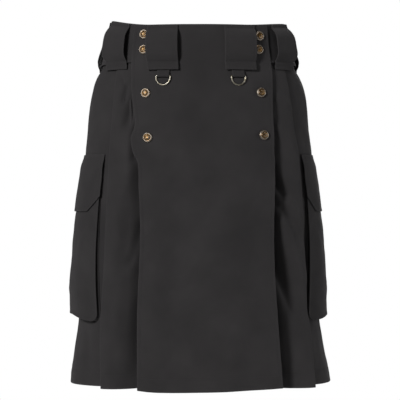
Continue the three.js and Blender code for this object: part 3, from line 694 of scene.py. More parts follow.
def stitch_row(cloth, row, column):
    """A row of stitches along a line on a cloth's outer face, given by places in its grid."""
    points, normals = cloth.surface(row, column)
    steps = np.linalg.norm(np.diff(points, axis=0), axis=1)
    way = np.concatenate([[0], np.cumsum(steps)])
    centres = np.arange(STITCH_PITCH / 2, way[-1], STITCH_PITCH)
    ends = [np.clip(centres + side * STITCH_LENGTH / 2, 0, way[-1]) for side in (-1, 1)]
    start, end = (np.stack([np.interp(e, way, points[:, k]) for k in range(3)], axis=-1) for e in ends)
    normal = np.stack([np.interp(centres, way, normals[:, k]) for k in range(3)], axis=-1)
    THREADS.append((start, end, normal))


# A stitch is a short thread that dips into the cloth at both ends: share of its length, lift and thickness.
STITCH_SHAPE = (
    (0.0, -0.35, 0.35),
    (0.14, 0.15, 0.85),
    (0.5, 0.5, 1.0),
    (0.86, 0.15, 0.85),
    (1.0, -0.35, 0.35),
)
THREAD_SIDES = 6
SHORTEST_STITCH = 0.6


def thread_mesh(name, material):
    """All stitch rows so far as one mesh."""
    points, faces = [], []
    ring = range(THREAD_SIDES)
    for start, end, normal in THREADS:
        way = end - start
        size = np.maximum(np.linalg.norm(way, axis=1, keepdims=True), 1e-6)
        side = np.cross(way / size, normal)
        for i in range(len(start)):
            if size[i, 0] < SHORTEST_STITCH * STITCH_LENGTH:
                continue
            first = len(points)
            for share, lift, thick in STITCH_SHAPE:
                centre = start[i] + way[i] * share + normal[i] * lift * THREAD_RADIUS
                for k in ring:
                    angle = 2 * math.pi * k / THREAD_SIDES
                    offset = side[i] * math.cos(angle) + normal[i] * math.sin(angle)
                    points.append(centre + offset * THREAD_RADIUS * thick)
            last = len(points) - THREAD_SIDES
            for here in range(first, last, THREAD_SIDES):
                beyond = here + THREAD_SIDES
                for k in ring:
                    turn = (k + 1) % THREAD_SIDES
                    faces.append((here + k, beyond + k, beyond + turn, here + turn))
            faces.append(tuple(first + k for k in ring))
            faces.append(tuple(last + k for k in reversed(ring)))
    THREADS.clear()
    return make_mesh(name, np.array(points) * MM, faces, material)


def new_shader(name, colour, roughness, metallic=0.0):
    material = bpy.data.materials.new(name)
    material.use_nodes = True
    nodes, links = material.node_tree.nodes, material.node_tree.links
    surface = nodes["Principled BSDF"]
    surface.inputs["Base Color"].default_value = (*colour, 1)
    surface.inputs["Roughness"].default_value = roughness
    surface.inputs["Metallic"].default_value = metallic
    return material, nodes, links, surface


def maths(nodes, links, operation, first, second=None):
    """A Math node on two inputs, each a socket or a number."""
    node = nodes.new("ShaderNodeMath")
    node.operation = operation
    for socket, value in zip(node.inputs, (first, second)):
        if value is None:
            continue
        if isinstance(value, (int, float)):
            socket.default_value = value
        else:
            links.new(value, socket)
    return node.outputs[0]


def noise(nodes, links, scale, detail, where):
    node = nodes.new("ShaderNodeTexNoise")
    node.inputs["Scale"].default_value = scale
    node.inputs["Detail"].default_value = detail
    links.new(where, node.inputs["Vector"])
    return node.outputs["Fac"]


def ramp(nodes, links, factor, *stops):
    """A colour ramp through stops of (place, colour)."""
    node = nodes.new("ShaderNodeValToRGB")
    points = node.color_ramp.elements
    while len(points) < len(stops):
        points.new(0.5)
    for point, (where, colour) in zip(points, stops):
        point.position = where
        point.color = (*colour, 1)
    links.new(factor, node.inputs["Fac"])
    return node.outputs["Color"]


def mixed(nodes, links, factor, first, second):
    node = nodes.new("ShaderNodeMix")
    node.data_type = "RGBA"
    links.new(factor, node.inputs["Factor"])
    for socket, value in ((node.inputs["A"], first), (node.inputs["B"], second)):
        if isinstance(value, tuple):
            socket.default_value = (*value, 1)
        else:
            links.new(value, socket)
    return node.outputs["Result"]


def worn_share(nodes):
    """How worn each point is, as make_mesh stores it; on the snaps' rims it also carries a painted highlight.
    """
    node = nodes.new("ShaderNodeAttribute")
    node.attribute_name = "worn"
    return node.outputs["Fac"]


def from_to(nodes, links, factor, low, high):
    """A number that goes from low to high as the factor goes from 0 to 1."""
    node = nodes.new("ShaderNodeMapRange")
    node.inputs["To Min"].default_value = low
    node.inputs["To Max"].default_value = high
    links.new(factor, node.inputs["Value"])
    return node.outputs["Result"]


def add_bump(nodes, links, surface, height, strength, distance_m):
    node = nodes.new("ShaderNodeBump")
    node.inputs["Strength"].default_value = strength
    node.inputs["Distance"].default_value = distance_m
    links.new(height, node.inputs["Height"])
    links.new(node.outputs["Normal"], surface.inputs["Normal"])


THREAD_SPACING_M = 0.0009
CANVAS = (0.0298, 0.0277, 0.0284)
CANVAS_DARK = (0.0215, 0.0200, 0.0206)
CANVAS_WORN = (0.035, 0.033, 0.034)
THREAD = (0.036, 0.034, 0.035)


def canvas_material(name, colour, dark, worn):
    """Plain-woven canvas: crossing threads with slubs, a short nap, and paler wear at edges and folds."""
    material, nodes, links, surface = new_shader(name, colour, 0.88)
    surface.inputs["Specular IOR Level"].default_value = 0.22
    surface.inputs["Sheen Weight"].default_value = 0.08
    surface.inputs["Sheen Roughness"].default_value = 0.55
    surface.inputs["Sheen Tint"].default_value = (0.75, 0.72, 0.74, 1)
    flat = nodes.new("ShaderNodeUVMap")
    flat.uv_map = "flat"
    where = flat.outputs["UV"]
    parts = nodes.new("ShaderNodeSeparateXYZ")
    links.new(where, parts.inputs["Vector"])
    waves = []
    for axis in ("X", "Y"):
        turn = maths(nodes, links, "MULTIPLY", parts.outputs[axis], 2 * math.pi / THREAD_SPACING_M)
        waves.append(maths(nodes, links, "SINE", turn))
    weave = maths(nodes, links, "MULTIPLY", *waves)
    slub = noise(nodes, links, 900, 3, where)
    nap = noise(nodes, links, 2600, 2, where)
    cloudy = noise(nodes, links, 14, 5, where)
    pale = tuple(1.14 * c for c in colour)
    tone = ramp(nodes, links, cloudy, (0.32, dark), (0.62, colour), (0.8, pale))
    thread_tone = maths(nodes, links, "ADD", maths(nodes, links, "MULTIPLY", weave, 0.10), slub)
    speckled = mixed(nodes, links, maths(nodes, links, "MULTIPLY", thread_tone, 0.38), tone, dark)
    rubbed = maths(nodes, links, "MULTIPLY", worn_share(nodes), maths(nodes, links, "MULTIPLY", slub, 0.55))
    links.new(mixed(nodes, links, rubbed, speckled, worn), surface.inputs["Base Color"])
    height = maths(nodes, links, "ADD", maths(nodes, links, "MULTIPLY", weave, 0.35), slub)
    height = maths(nodes, links, "ADD", height, maths(nodes, links, "MULTIPLY", nap, 0.4))
    add_bump(nodes, links, surface, height, 0.5, 0.00022)
    links.new(from_to(nodes, links, slub, 0.8, 0.97), surface.inputs["Roughness"])
    return material


def metal_material(name, bright, dark, roughness):
    """Antique metal: dark patina, rubbed bright in patches and where it is most worn, finely scratched. On
    the snaps the worn value also holds a painted highlight round the rim, which is painted paler with it.
    """
    material, nodes, links, surface = new_shader(name, bright, roughness, 1.0)
    where = nodes.new("ShaderNodeTexCoord").outputs["Object"]
    rubbed = maths(nodes, links, "MULTIPLY", worn_share(nodes), 0.3)
    patches = maths(nodes, links, "ADD", noise(nodes, links, 420, 4, where), rubbed)
    colour = ramp(nodes, links, patches, (0.5, dark), (0.78, bright))
    links.new(colour, surface.inputs["Base Color"])
    rough = from_to(nodes, links, patches, roughness - 0.08, roughness + 0.16)
    links.new(rough, surface.inputs["Roughness"])
    add_bump(nodes, links, surface, noise(nodes, links, 2400, 3, where), 0.25, 0.0001)
    return material


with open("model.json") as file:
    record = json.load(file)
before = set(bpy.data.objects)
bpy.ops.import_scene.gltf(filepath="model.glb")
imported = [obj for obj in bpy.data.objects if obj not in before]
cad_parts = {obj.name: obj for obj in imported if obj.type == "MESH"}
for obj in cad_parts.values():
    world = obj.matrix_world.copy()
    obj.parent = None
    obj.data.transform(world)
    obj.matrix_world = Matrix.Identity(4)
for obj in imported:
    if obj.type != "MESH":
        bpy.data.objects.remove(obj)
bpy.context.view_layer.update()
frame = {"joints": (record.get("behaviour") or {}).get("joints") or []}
canvas = canvas_material("canvas", CANVAS, CANVAS_DARK, CANVAS_WORN)
thread = canvas_material("thread", THREAD, CANVAS_DARK, CANVAS_WORN)
brass = metal_material("antique_brass", (0.5, 0.47, 0.4), (0.2, 0.17, 0.11), 0.3)
copper = metal_material("antique_copper", (0.33, 0.29, 0.245), (0.15, 0.085, 0.03), 0.33)


def dress(name, cloth):
    """One piece of cloth in place of its CAD node."""
    piece = cloth.mesh(name + "_cloth", canvas)
    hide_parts(name)
    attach(piece, "kilt")


def soft_relief(panel, u, z, seed, size=1.0):
    """The creases and the unevenness of a panel's cloth: less near the waist, where it is stitched."""
    trough, ridge = line_relief(CREASES[panel], u, z)
    hangs = 0.35 + 0.65 * smooth_step(-60, -250, z)
    return trough * (0.4 + 0.6 * smooth_step(-120, -240, z)) + ridge + rumple(u, z, seed, size * hangs)


SNAP_CALM = 12.0
MOAT_RADIUS = 10.5
MOAT_WIDTH = 3.2
MOAT_DEPTH = 0.45


def near_snaps(u, z):
    """1 at a snap and 0 away from all of them, and the ring of cloth that each pulls in."""
    calm, moat = np.zeros(u.shape), np.zeros(u.shape)
    for snap_u, snap_z in SNAPS["left"] + SNAPS["right"]:
        away = np.hypot(u - snap_u, z - snap_z)
        calm = np.maximum(calm, np.exp(-((away / SNAP_CALM) ** 4)))
        moat += MOAT_DEPTH * np.exp(-(((away - MOAT_RADIUS) / MOAT_WIDTH) ** 2))
    return calm, moat


# The apron's even grid ends at one height, and from a little above it its lines follow the top edge.
APRON_EVEN_TO_Z = 4.0
APRON_TOP_FROM_Z = 6.0
APRON_TOP_SHARES = np.array([0.0, 0.18, 0.36, 0.54, 0.68, 0.76, 0.86, 1.0])
HEM_LEVELS = 8
APRON_WAVES_FROM = 0.72


def build_apron():
    half = line("apron", -250)
    edges = [(half - d) / half for d in (1, 3, STITCH_IN, 7, 9)]
    shares = spaced(-1, 1, STEP / half, *edges, *[-share for share in edges])
    low = spaced(HEM_Z, APRON_EVEN_TO_Z, STEP, *SKIRT_LEVELS[:HEM_LEVELS])
    top = top_edge(shares * FRONT_LINES["apron"][0])
    high_z = APRON_TOP_FROM_Z + (top - APRON_TOP_FROM_Z) * APRON_TOP_SHARES[:, None]
    z = np.concatenate([np.repeat(low[:, None], len(shares), axis=1), high_z])
    u = shares * line("apron", z)
    beyond = np.where(u < 0, -curve(APRON_EDGES, "left", z), curve(APRON_EDGES, "right", z))
    u_hung = u + beyond * smooth_step(APRON_WAVES_FROM, 1, np.abs(shares))
    z_hung = z - curve(APRON_HEM, "drop", u) * smooth_step(-430, HEM_Z, z)
    from_edge = line("apron", z) - np.abs(u)
    calm, moat = near_snaps(u, z)
    small = soft_relief("apron", u, z, 11, 1.3) + pucker(z, from_edge - STITCH_IN, 12)
    small += pucker(u, z - HEM_STITCH_Z, 13) + pucker(u, z - top + STITCH_IN, 14, 0.2)
    depth = apron_depth(u, z) + small * (1 - calm) + moat + hem_relief(z)
    depth += turned_edge(from_edge, STITCH_IN) + 0.5 * turned_edge(top - z, STITCH_IN)
    cloth = Cloth(place(u_hung, z_hung, depth), CLOTH)
    dress("apron", cloth)
    row_count, column_count = z.shape
    for share in (edges[2], -edges[2]):
        stitch_row(cloth, np.arange(nearest(z[:, 0], HEM_Z + 4), row_count - 3), nearest(shares, share))
    stitch_row(cloth, nearest(low, HEM_STITCH_Z), np.arange(3, column_count - 3))
    stitch_row(cloth, len(low) + 5, np.arange(2, column_count - 2))


BAND_STITCH_SHARES = (0.07, 0.93)


def build_waistband():
    across = np.linspace(-1, 1, 221)
    rise = spaced(0, 1, 1 / 20, *BAND_STITCH_SHARES)
    top = top_edge(across * half_way(EDGE_FRONT_Z))
    z = BAND_BOTTOM_Z + (top - BAND_BOTTOM_Z) * rise[:, None]
    u = across * (half_way(z) - SEAM_GAP / 2)
    relief = 0.25 * rumple(u, z, 21) + pucker(u, top - z - STITCH_IN, 22, 0.22)
    relief += pucker(u, z - BAND_BOTTOM_Z - STITCH_IN, 23, 0.22)
    relief += 0.6 * turned_edge(top - z, STITCH_IN) + 0.6 * turned_edge(z - BAND_BOTTOM_Z, STITCH_IN)
    cloth = Cloth(place(u, z, -(LAYER_GAP + BAND_THICK / 2) + relief), BAND_THICK)
    dress("waistband", cloth)
    for share in BAND_STITCH_SHARES:
        stitch_row(cloth, nearest(rise, share), np.arange(2, len(across) - 2))


def build_panel(name, levels, section, sign, relief):
    """A skirt panel from its sections. The left one is the right one's mirror but for its creases."""
    lines = []
    for z in levels:
        dense = rounded(section(float(z)))
        lines.append(dense if sign > 0 else dense[::-1] * (-1, 1))
    lines = np.array(lines)
    u, depth = lines[..., 0], lines[..., 1]
    z = np.repeat(levels[:, None], u.shape[1], axis=1)
    cloth = Cloth(place(u, z, depth + relief(u, z)), CLOTH)
    dress(name, cloth)
    return cloth


def under_apron_section(z):
    fold = line("inner", z)
    end = fold + pleat("inner_run", z)
    deep = FACE + 2 * LAYER + pleat("inner_depth", z)
    middle = FACE + 2 * LAYER + UNDER_SINK * smooth_step(PANEL_TOP_Z, UNDER_SINK_END_Z, z)
    seam = stop_before([fold, FACE + LAYER], [end, deep - LAYER], SEAM_PLACE)
    half = [(fold * share, middle + (deep - middle) * sink, 0, 4) for share, sink in UNDER_APRON]
    half += [(end, deep, FOLD_RADIUS, 1), (end, deep - LAYER, FOLD_RADIUS, 5), (*seam, 0, 1)]
    mirrored = [(-u, depth, radius, 4) for u, depth, radius, _ in half][::-1]
    return mirrored + [(0, middle, 0, 4)] + half


def front_section(z):
    inner, outer = line("inner", z), line("pleat", z)
    out = pleat("panel_out", z)
    inner_end = (inner + pleat("inner_run", z), FACE + LAYER + pleat("inner_depth", z))
    outer_end = (outer - pleat("pleat_run", z), FACE + LAYER + pleat("pleat_depth", z))
    face = [(u, FACE - out * smooth_step(inner, outer, u), 0, 1) for u in np.linspace(inner, outer, 19)]
    for i in (0, -1):
        face[i] = (*face[i][:2], FOLD_RADIUS, 1)
    inner_turn, outer_turn = (inner, face[0][1] + LAYER), (outer, face[-1][1] + LAYER)
    start = stop_before(inner_turn, inner_end, SEAM_PLACE + SEAM_GAP)
    end = stop_before(outer_turn, outer_end, SEAM_PLACE + SEAM_GAP)
    opening = [(*start, 0, 6), (*inner_turn, FOLD_RADIUS, 1)]
    return opening + face + [(*outer_turn, FOLD_RADIUS, 6), (*end, 0, 1)]


def side_section(z):
    outer = line("pleat", z)
    turn = outer - pleat("pleat_run", z)
    deep = FACE + LAYER + pleat("pleat_depth", z)
    outer_top = FACE - pleat("panel_out", z) + LAYER
    start, drop, run, _, slope = back_pleats(z)
    seam = stop_before([outer, outer_top], [turn, deep], SEAM_PLACE)
    section = [(*seam, 0, 5), (turn, deep, FOLD_RADIUS, 1), (turn, deep + LAYER, FOLD_RADIUS, 6)]
    section += [(u, side_depth(u, z), 0, 1) for u in np.linspace(outer, start, 60)]
    end = run - SEAM_PLACE - SEAM_GAP
    section[-1] = (*section[-1][:3], 5)
    return section + [(start + end, FACE + drop + slope * end, 0, 1)]


def back_section(z):
    start, drop, run, pitch, slope = back_pleats(z)
    section = [(start + run - SEAM_PLACE, FACE + drop + slope * (run - SEAM_PLACE), 0, 3)]
    for i in range(BACK_PLEATS):
        edge = start + i * pitch
        deep = FACE + drop + slope * run
        is_last = i == BACK_PLEATS - 1
        face_slope = 0 if is_last else slope
        face_end = half_way(z) - SEAM_GAP / 2 if is_last else edge + pitch
        section += [(edge + run, deep, FOLD_RADIUS, 1), (edge + run, deep - LAYER, FOLD_RADIUS, 5)]
        section += [(edge, FACE + LAYER, FOLD_RADIUS, 1), (edge, FACE, FOLD_RADIUS, 1)]
        section += [(u, FACE + face_slope * (u - edge), 0, 1) for u in np.linspace(edge, face_end, 11)[1:]]
    return section


DRAWN_REACH = 24.0
# Beside the apron the cloth is drawn in, more towards the hem, and the layers behind it go with it. sink is
# spread over the panel, and left and right say how much further it goes close to the apron's edge.
DRAWN_IN = rows(
    "z sink left right",
    (-30, 0, 0, 0),
    (-60, 1.2, 1.5, 0.3),
    (-110, 3.6, 3, 0.8),
    (-150, 5.5, 4.5, 2),
    (-200, 7, 9, 6),
    (-250, 9.5, 16, 9),
    (-330, 12.5, 19, 11),
    (-400, 15, 21, 10),
    (-581, 18, 22, 9),
)


def drawn_in(u, z):
    """How far the cloth sinks beside the apron's edge."""
    out = np.abs(u)
    apron = line("apron", z)
    broad = curve(DRAWN_IN, "sink", z) * smooth_step(line("pleat", z) - 6, apron - 4, out)
    extra = np.where(u < 0, curve(DRAWN_IN, "left", z), curve(DRAWN_IN, "right", z))
    return broad + extra * smooth_step(apron + DRAWN_REACH, apron - 2, out)


def under_relief(u, z):
    return 0.8 * rumple(u, z, 31) + hem_relief(z) + drawn_in(u, z) * smooth_step(50, 100, np.abs(u))


# How wide the calm cloth beside each front panel's pleat is, and how calm it is.
CALM_WIDTH = {"left": 22.0, "right": 52.0}
PLEAT_CALM = 0.85


def front_relief(side, sign, u, z):
    apron, pleat_edge = line("apron", z), line("pleat", z)
    fold = fold_depth(side, u, z) * smooth_step(apron - 1, apron + FOLD_FADE, np.abs(u))
    edge = pucker(z, pleat_edge - np.abs(u), 41 + sign, 0.16)
    at_pleat = smooth_step(pleat_edge - CALM_WIDTH[side], pleat_edge - 4, np.abs(u))
    calm = 1 - PLEAT_CALM * at_pleat
    return fold + soft_relief(side, u, z, 42 + sign) * calm + hem_relief(z) + edge + drawn_in(u, z)


def side_relief(side, sign, u, z):
    return soft_relief("side", np.abs(u), z, 51 + sign) + hem_relief(z)


def back_relief(side, sign, u, z):
    below_band = 0.3 + 0.7 * smooth_step(PANEL_TOP_Z, -110, z)
    return soft_relief("back", np.abs(u), z, 61 + sign, 0.8) * below_band + hem_relief(z)


def build_skirt():
    build_panel("under_apron", SKIRT_LEVELS[::2], under_apron_section, 1, under_relief)
    panels = (
        ("front", front_section, front_relief),
        ("side", side_section, side_relief),
        ("back", back_section, back_relief),
    )
    for side, sign in (("left", -1), ("right", 1)):
        for kind, section, relief in panels:
            own_relief = partial(relief, side, sign)
            cloth = build_panel(f"{kind}_panel_{side}", SKIRT_LEVELS, section, sign, own_relief)
            columns = np.arange(3, cloth.middle.shape[1] - 3)
            stitch_row(cloth, nearest(SKIRT_LEVELS, HEM_STITCH_Z), columns)


POCKET_BULGE = 1.5
FLAP_PLAY = 0.5
POCKET_CREASE = 5.0
POCKET_PRESS = 0.5
POCKET_PRESS_WIDTH = 40.0
POCKET_LEAST = 1.6
# The pockets' bottoms rise a little from their front edges backwards.
POCKET_SLANT = {"left": 11.0, "right": 7.0}
# Where the grid has further lines, so far in from an edge, for its turn and its stitches.
EDGE_LINES = (1, 3, 5, 7)
POCKET_BOTTOM_LINES = (1, 2.2, 5, 6.5, 8)


def pocket_height(u, z):
    """How far the pocket's cloth stands off the skirt, which is less at its sides, where it is pressed."""
    across = np.clip(u - curve(POCKET_LINES, "edge", z), 0, POCKET_WIDTH)
    to_side = np.minimum(across, POCKET_WIDTH - across)
    pressed = 1 - POCKET_PRESS * smooth_step(POCKET_PRESS_WIDTH, 0, to_side)
    bulge = POCKET_BULGE * np.sin(math.pi * across / POCKET_WIDTH)
    return np.maximum(curve(POCKET_LINES, "out", z) * pressed + bulge, POCKET_LEAST)


def slanted(side, across, z):
    """Heights on the pocket, raised near its bottom behind its front edge."""
    return z + POCKET_SLANT[side] * smooth_step(4, 70, across) * smooth_step(-390, POCKET_BOTTOM_Z, z)


def off_side(sign, u, z, height):
    return place(sign * u, z, side_depth(u, z) - FACE - height)


def facing(sign, grid):
    """The columns of a grid in the order that turns its face outward."""
    return grid if sign > 0 else grid[:, ::-1]


def build_pocket_face(side, sign):
    low_levels = [POCKET_BOTTOM_Z + d for d in POCKET_BOTTOM_LINES]
    levels = spaced(POCKET_BOTTOM_Z, POCKET_TOP_Z, STEP, *low_levels)
    above = np.minimum(levels - POCKET_BOTTOM_Z, POCKET_CORNER)
    inset = POCKET_CORNER - np.sqrt(POCKET_CORNER**2 - (POCKET_CORNER - above) ** 2)
    at_edge = [d / POCKET_WIDTH for d in EDGE_LINES]
    shares = spaced(0, 1, STEP / POCKET_WIDTH, *at_edge, *(1 - share for share in at_edge))
    z = np.repeat(levels[:, None], len(shares), axis=1)
    across = inset[:, None] + (POCKET_WIDTH - 2 * inset[:, None]) * shares
    u = curve(POCKET_LINES, "edge", z) + across
    from_edge = np.minimum(np.minimum(across, POCKET_WIDTH - across), z - POCKET_BOTTOM_Z)
    relief = (soft_relief("pocket", u, z, 71 + sign) + 0.4) * smooth_step(0, 14, from_edge)
    relief += turned_edge(from_edge, STITCH_IN) + pucker(across + z, from_edge - STITCH_IN, 72, 0.22)
    height = pocket_height(u, z) + CLOTH / 2 - relief
    cloth = Cloth(facing(sign, off_side(sign, u, slanted(side, across, z), height)), CLOTH)
    dress(f"pocket_face_{side}", cloth)
    bottom = nearest(levels, POCKET_BOTTOM_Z + STITCH_IN)
    for share in (STITCH_IN / POCKET_WIDTH, 1 - STITCH_IN / POCKET_WIDTH):
        stitch_row(cloth, np.arange(bottom + 2, len(levels) - 1), nearest(shares, share))
    stitch_row(cloth, bottom, np.arange(4, len(shares) - 4))


GUSSET_STEP = 6.0
GUSSET_SHARES = (0, 0.12, 0.25, 0.38, 0.5, 0.62, 0.75, 0.88, 1)


def build_gusset(side, sign):
    """The pocket's folded side band, along a route of places at its edge and their directions inward."""
    corner_z = POCKET_BOTTOM_Z + POCKET_CORNER
    route = [(0.0, z, 1.0, 0.0) for z in spaced(corner_z, POCKET_TOP_Z, GUSSET_STEP)[::-1]]
    for angle in np.radians([15, 30, 45, 60, 75]):
        in_x, in_z = math.cos(angle), math.sin(angle)
        route.append((POCKET_CORNER * (1 - in_x), POCKET_BOTTOM_Z + POCKET_CORNER * (1 - in_z), in_x, in_z))
    bottom = spaced(POCKET_CORNER, POCKET_WIDTH / 2, GUSSET_STEP)
    route += [(across, POCKET_BOTTOM_Z, 0.0, 1.0) for across in bottom]
    route += [(POCKET_WIDTH - across, z, -in_x, in_z) for across, z, in_x, in_z in route[-2::-1]]
    across, z, in_x, in_z = np.array(route).T
    grid = []
    for out in GUSSET_SHARES:
        crease = POCKET_CREASE * (1 - abs(2 * out - 1)) ** 0.8
        inset = crease + CLOTH / 2
        level = z + in_z * inset
        u = curve(POCKET_LINES, "edge", level) + across + in_x * inset
        low, high = LAYER_GAP + SEAM_GAP, pocket_height(u, level) - LAYER_GAP / 2
        grid.append(off_side(sign, u, slanted(side, across, level), low + (high - low) * out))
    cloth = Cloth(facing(sign, np.array(grid)), CLOTH)
    dress(f"pocket_gusset_{side}", cloth)


FLAP_STITCH_SHARE = 0.946


def build_flap(side, sign):
    width = POCKET_WIDTH + 2 * FLAP_OVERHANG
    at_edge = (*EDGE_LINES, FLAP_CORNER)
    across = spaced(0, width, STEP, *at_edge, *(width - d for d in at_edge))
    shares = spaced(0, 1, 0.04, 0.92, FLAP_STITCH_SHARE, 0.97, 0.99)
    to_side = np.minimum(across, width - across)
    bottom = FLAP_BOTTOM_Z + np.maximum(FLAP_CORNER - to_side, 0)
    z = FLAP_TOP_Z + (bottom - FLAP_TOP_Z) * shares[:, None]
    u = curve(POCKET_LINES, "edge", z) - FLAP_OVERHANG + across
    over = pocket_height(u, z) + CLOTH + LAYER_GAP + FLAP_PLAY
    height = LAYER_GAP + (over - LAYER_GAP) * smooth_step(FLAP_TOP_Z, POCKET_TOP_Z + SEAM_PLACE, z)
    from_edge = np.minimum(to_side + 0 * z, z - bottom)
    relief = soft_relief("flap", u, z, 81 + sign, 0.6) * smooth_step(0, 16, FLAP_TOP_Z - z)
    relief = np.minimum(relief, 0.35) + turned_edge(from_edge, STITCH_IN)
    relief += pucker(across + z, from_edge - STITCH_IN, 82, 0.2)
    middle = off_side(sign, u, z, height + CLOTH / 2 - relief)[::-1]
    cloth = Cloth(facing(sign, middle), CLOTH)
    dress(f"pocket_flap_{side}", cloth)
    last = len(shares) - 1
    low_row = last - nearest(shares, FLAP_STITCH_SHARE)
    for place_in in (STITCH_IN, width - STITCH_IN):
        column = nearest(across, place_in) if sign > 0 else nearest(width - across[::-1], place_in)
        stitch_row(cloth, np.arange(low_row, last - 1), column)
    stitch_row(cloth, low_row, np.arange(4, len(across) - 4))
    stitch_row(cloth, last - 2, np.arange(2, len(across) - 2))


# A belt loop's stand-off along its length. Here z is 1 at its top and 0 at its bottom. It is stitched flat at
# both ends, and bowed out over a belt's room. The hip loops sag, and stand off most near their bottoms.
LOOP_RISE = rows(
    "z lift sagging",
    (1, 0, 0),
    (0.93, 0, 0),
    (0.84, 0.55, 0.08),
    (0.72, 0.93, 0.25),
    (0.5, 1, 0.5),
    (0.34, 0.93, 0.68),
    (0.24, 0.5, 0.7),
    (0.17, 0, 0.55),
    (0.1, 0, 0.25),
    (0, 0, 0),
)
# Each kind of loop: its share of the way round, its lower end, and how much more its sides stand off.
LOOPS = (
    ("front", 0.145, -50.0, 0.5),
    ("side", 0.343, -47.0, 2.5),
    ("hip", 0.575, -46.0, 1.0),
)
# How far each kind of loop follows the skirt's widening: 0 is upright.
LOOP_FOLLOW = {"front": 0, "side": 0.35, "hip": 1, "back": 1}
LOOP_LENGTH = 76.0
LOOP_SEAM = 0.17
LOOP_STITCH_SHARES = (LOOP_SEAM, 0.95, 0.02)
LOOP_STITCH_IN = 4.0
TAB_LAYERS = 2 * TAB_CLOTH + 2 * LAYER_GAP


def build_loop(name, sign, place_share, bottom, flat, seed):
    """A strap over the waistband, or over the apron at the front, stitched across near both ends."""
    on_front = name.startswith("loop_front")
    at_edge = [0.5 - d / LOOP_WIDTH for d in (1, 2.6, LOOP_STITCH_IN)]
    acrosses = spaced(-0.5, 0.5, 0.06, *at_edge, *(-share for share in at_edge))
    shares = spaced(0, 1, 0.03, 0.15, 0.19, 0.93, 0.985, *LOOP_STITCH_SHARES)
    rough = sign * place_share * half_way(0) + acrosses * LOOP_WIDTH
    z = bottom + shares[:, None] * (top_edge(rough) - LOOP_TOP_GAP - bottom)
    follow = LOOP_FOLLOW[name.split("_")[1]]
    u = sign * place_share * half_way(follow * z) + acrosses * LOOP_WIDTH
    lift = np.maximum(curve(LOOP_RISE, "sagging" if "hip" in name else "lift", shares), 0)[:, None]
    if on_front:
        over_tab = TAB_LAYERS * (1 - smooth_step(0.08, 0.3, shares))[:, None]
        base = FACE - apron_depth(u, z) + over_tab
    else:
        base = (LAYER_GAP + BAND_THICK) * smooth_step(BAND_BOTTOM_Z - 8, BAND_BOTTOM_Z, z)
    stand = lift * LOOP_STAND_OFF + flat * lift * (2 * acrosses) ** 2
    from_edge = (0.5 - np.abs(acrosses)) * LOOP_WIDTH + 0 * z
    relief = 0.35 * rumple(u, z, seed) * lift + 0.7 * turned_edge(from_edge, LOOP_STITCH_IN)
    groove = np.exp(-(((shares[:, None] - LOOP_SEAM) * LOOP_LENGTH / GROOVE_WIDTH) ** 2))
    relief += 0.45 * groove + 0.2 * np.sin(u / 9 + seed) * lift
    middle = place(u, z, -(base + LOOP_GAP + STRAP_THICK / 2 + stand - relief))
    cloth = Cloth(middle, STRAP_THICK)
    dress(name, cloth)
    for share in LOOP_STITCH_SHARES:
        stitch_row(cloth, nearest(shares, share), np.arange(2, len(acrosses) - 2))
    for side in (-1, 1):
        column = nearest(acrosses, side * at_edge[-1])
        stitch_row(cloth, np.arange(1, len(shares) - 1), column)


def apron_frame(u, z, gap):
    """A place on the apron's outer face, raised by a gap, and its directions along, inward and up."""

    def at(du, dz):
        return place(u + du, z + dz, apron_depth(u + du, z + dz) - FACE - gap)

    along = at(5, 0) - at(-5, 0)
    along /= np.linalg.norm(along)
    inward = np.cross(at(0, 8) - at(0, -8), along)
    inward /= np.linalg.norm(inward)
    return at(0, 0), along, inward, np.cross(along, inward)


def ring_spot(side):
    """The ring's place on the apron, with its bar on the joint's axis."""
    inward = apron_frame(RING_PLACES[side], RING_Z, LAYER_GAP)[2]
    joint = next(joint for joint in frame["joints"] if joint["name"] == f"ring_{side}_swing")
    along = -np.array(joint["axis"], float)
    inward = inward - np.dot(inward, along) * along
    inward /= np.linalg.norm(inward)
    origin = np.array(joint["pos_m"], float) / MM + BAR_OUT * inward
    return origin, along, inward, np.cross(along, inward)


def put_on(points, spot):
    """Points given as along, inward and up, moved to a place on the apron."""
    origin, along, inward, up = spot
    points = np.asarray(points, float)
    return origin + points[..., :1] * along + points[..., 1:2] * inward + points[..., 2:] * up


def build_tab(side, spot):
    """The cloth tab: down the apron, round the ring's bar and up again."""
    radius = BAR_OUT - TAB_CLOTH / 2
    path = [(TAB_CLOTH / 2, up) for up in np.linspace(TAB_RISE, 0, 6)]
    for angle in np.linspace(0, math.pi, 13)[1:]:
        path.append((BAR_OUT - radius * math.cos(angle), -radius * math.sin(angle)))
    second = 1.5 * TAB_CLOTH
    path += [(second + 0.6, TAB_RISE / 2), (second, TAB_RISE * 0.7), (second, TAB_RISE)]
    out, up = np.array(path).T
    across = np.linspace(-TAB_WIDTH / 2, TAB_WIDTH / 2, 9)
    grid = np.stack(np.broadcast_arrays(across[None, :], -out[:, None], up[:, None]), axis=-1)
    cloth = Cloth(put_on(grid, spot)[:, ::-1], TAB_CLOTH)
    dress(f"ring_tab_{side}", cloth)


RING_SIDES = 18
RING_WORN = 0.5


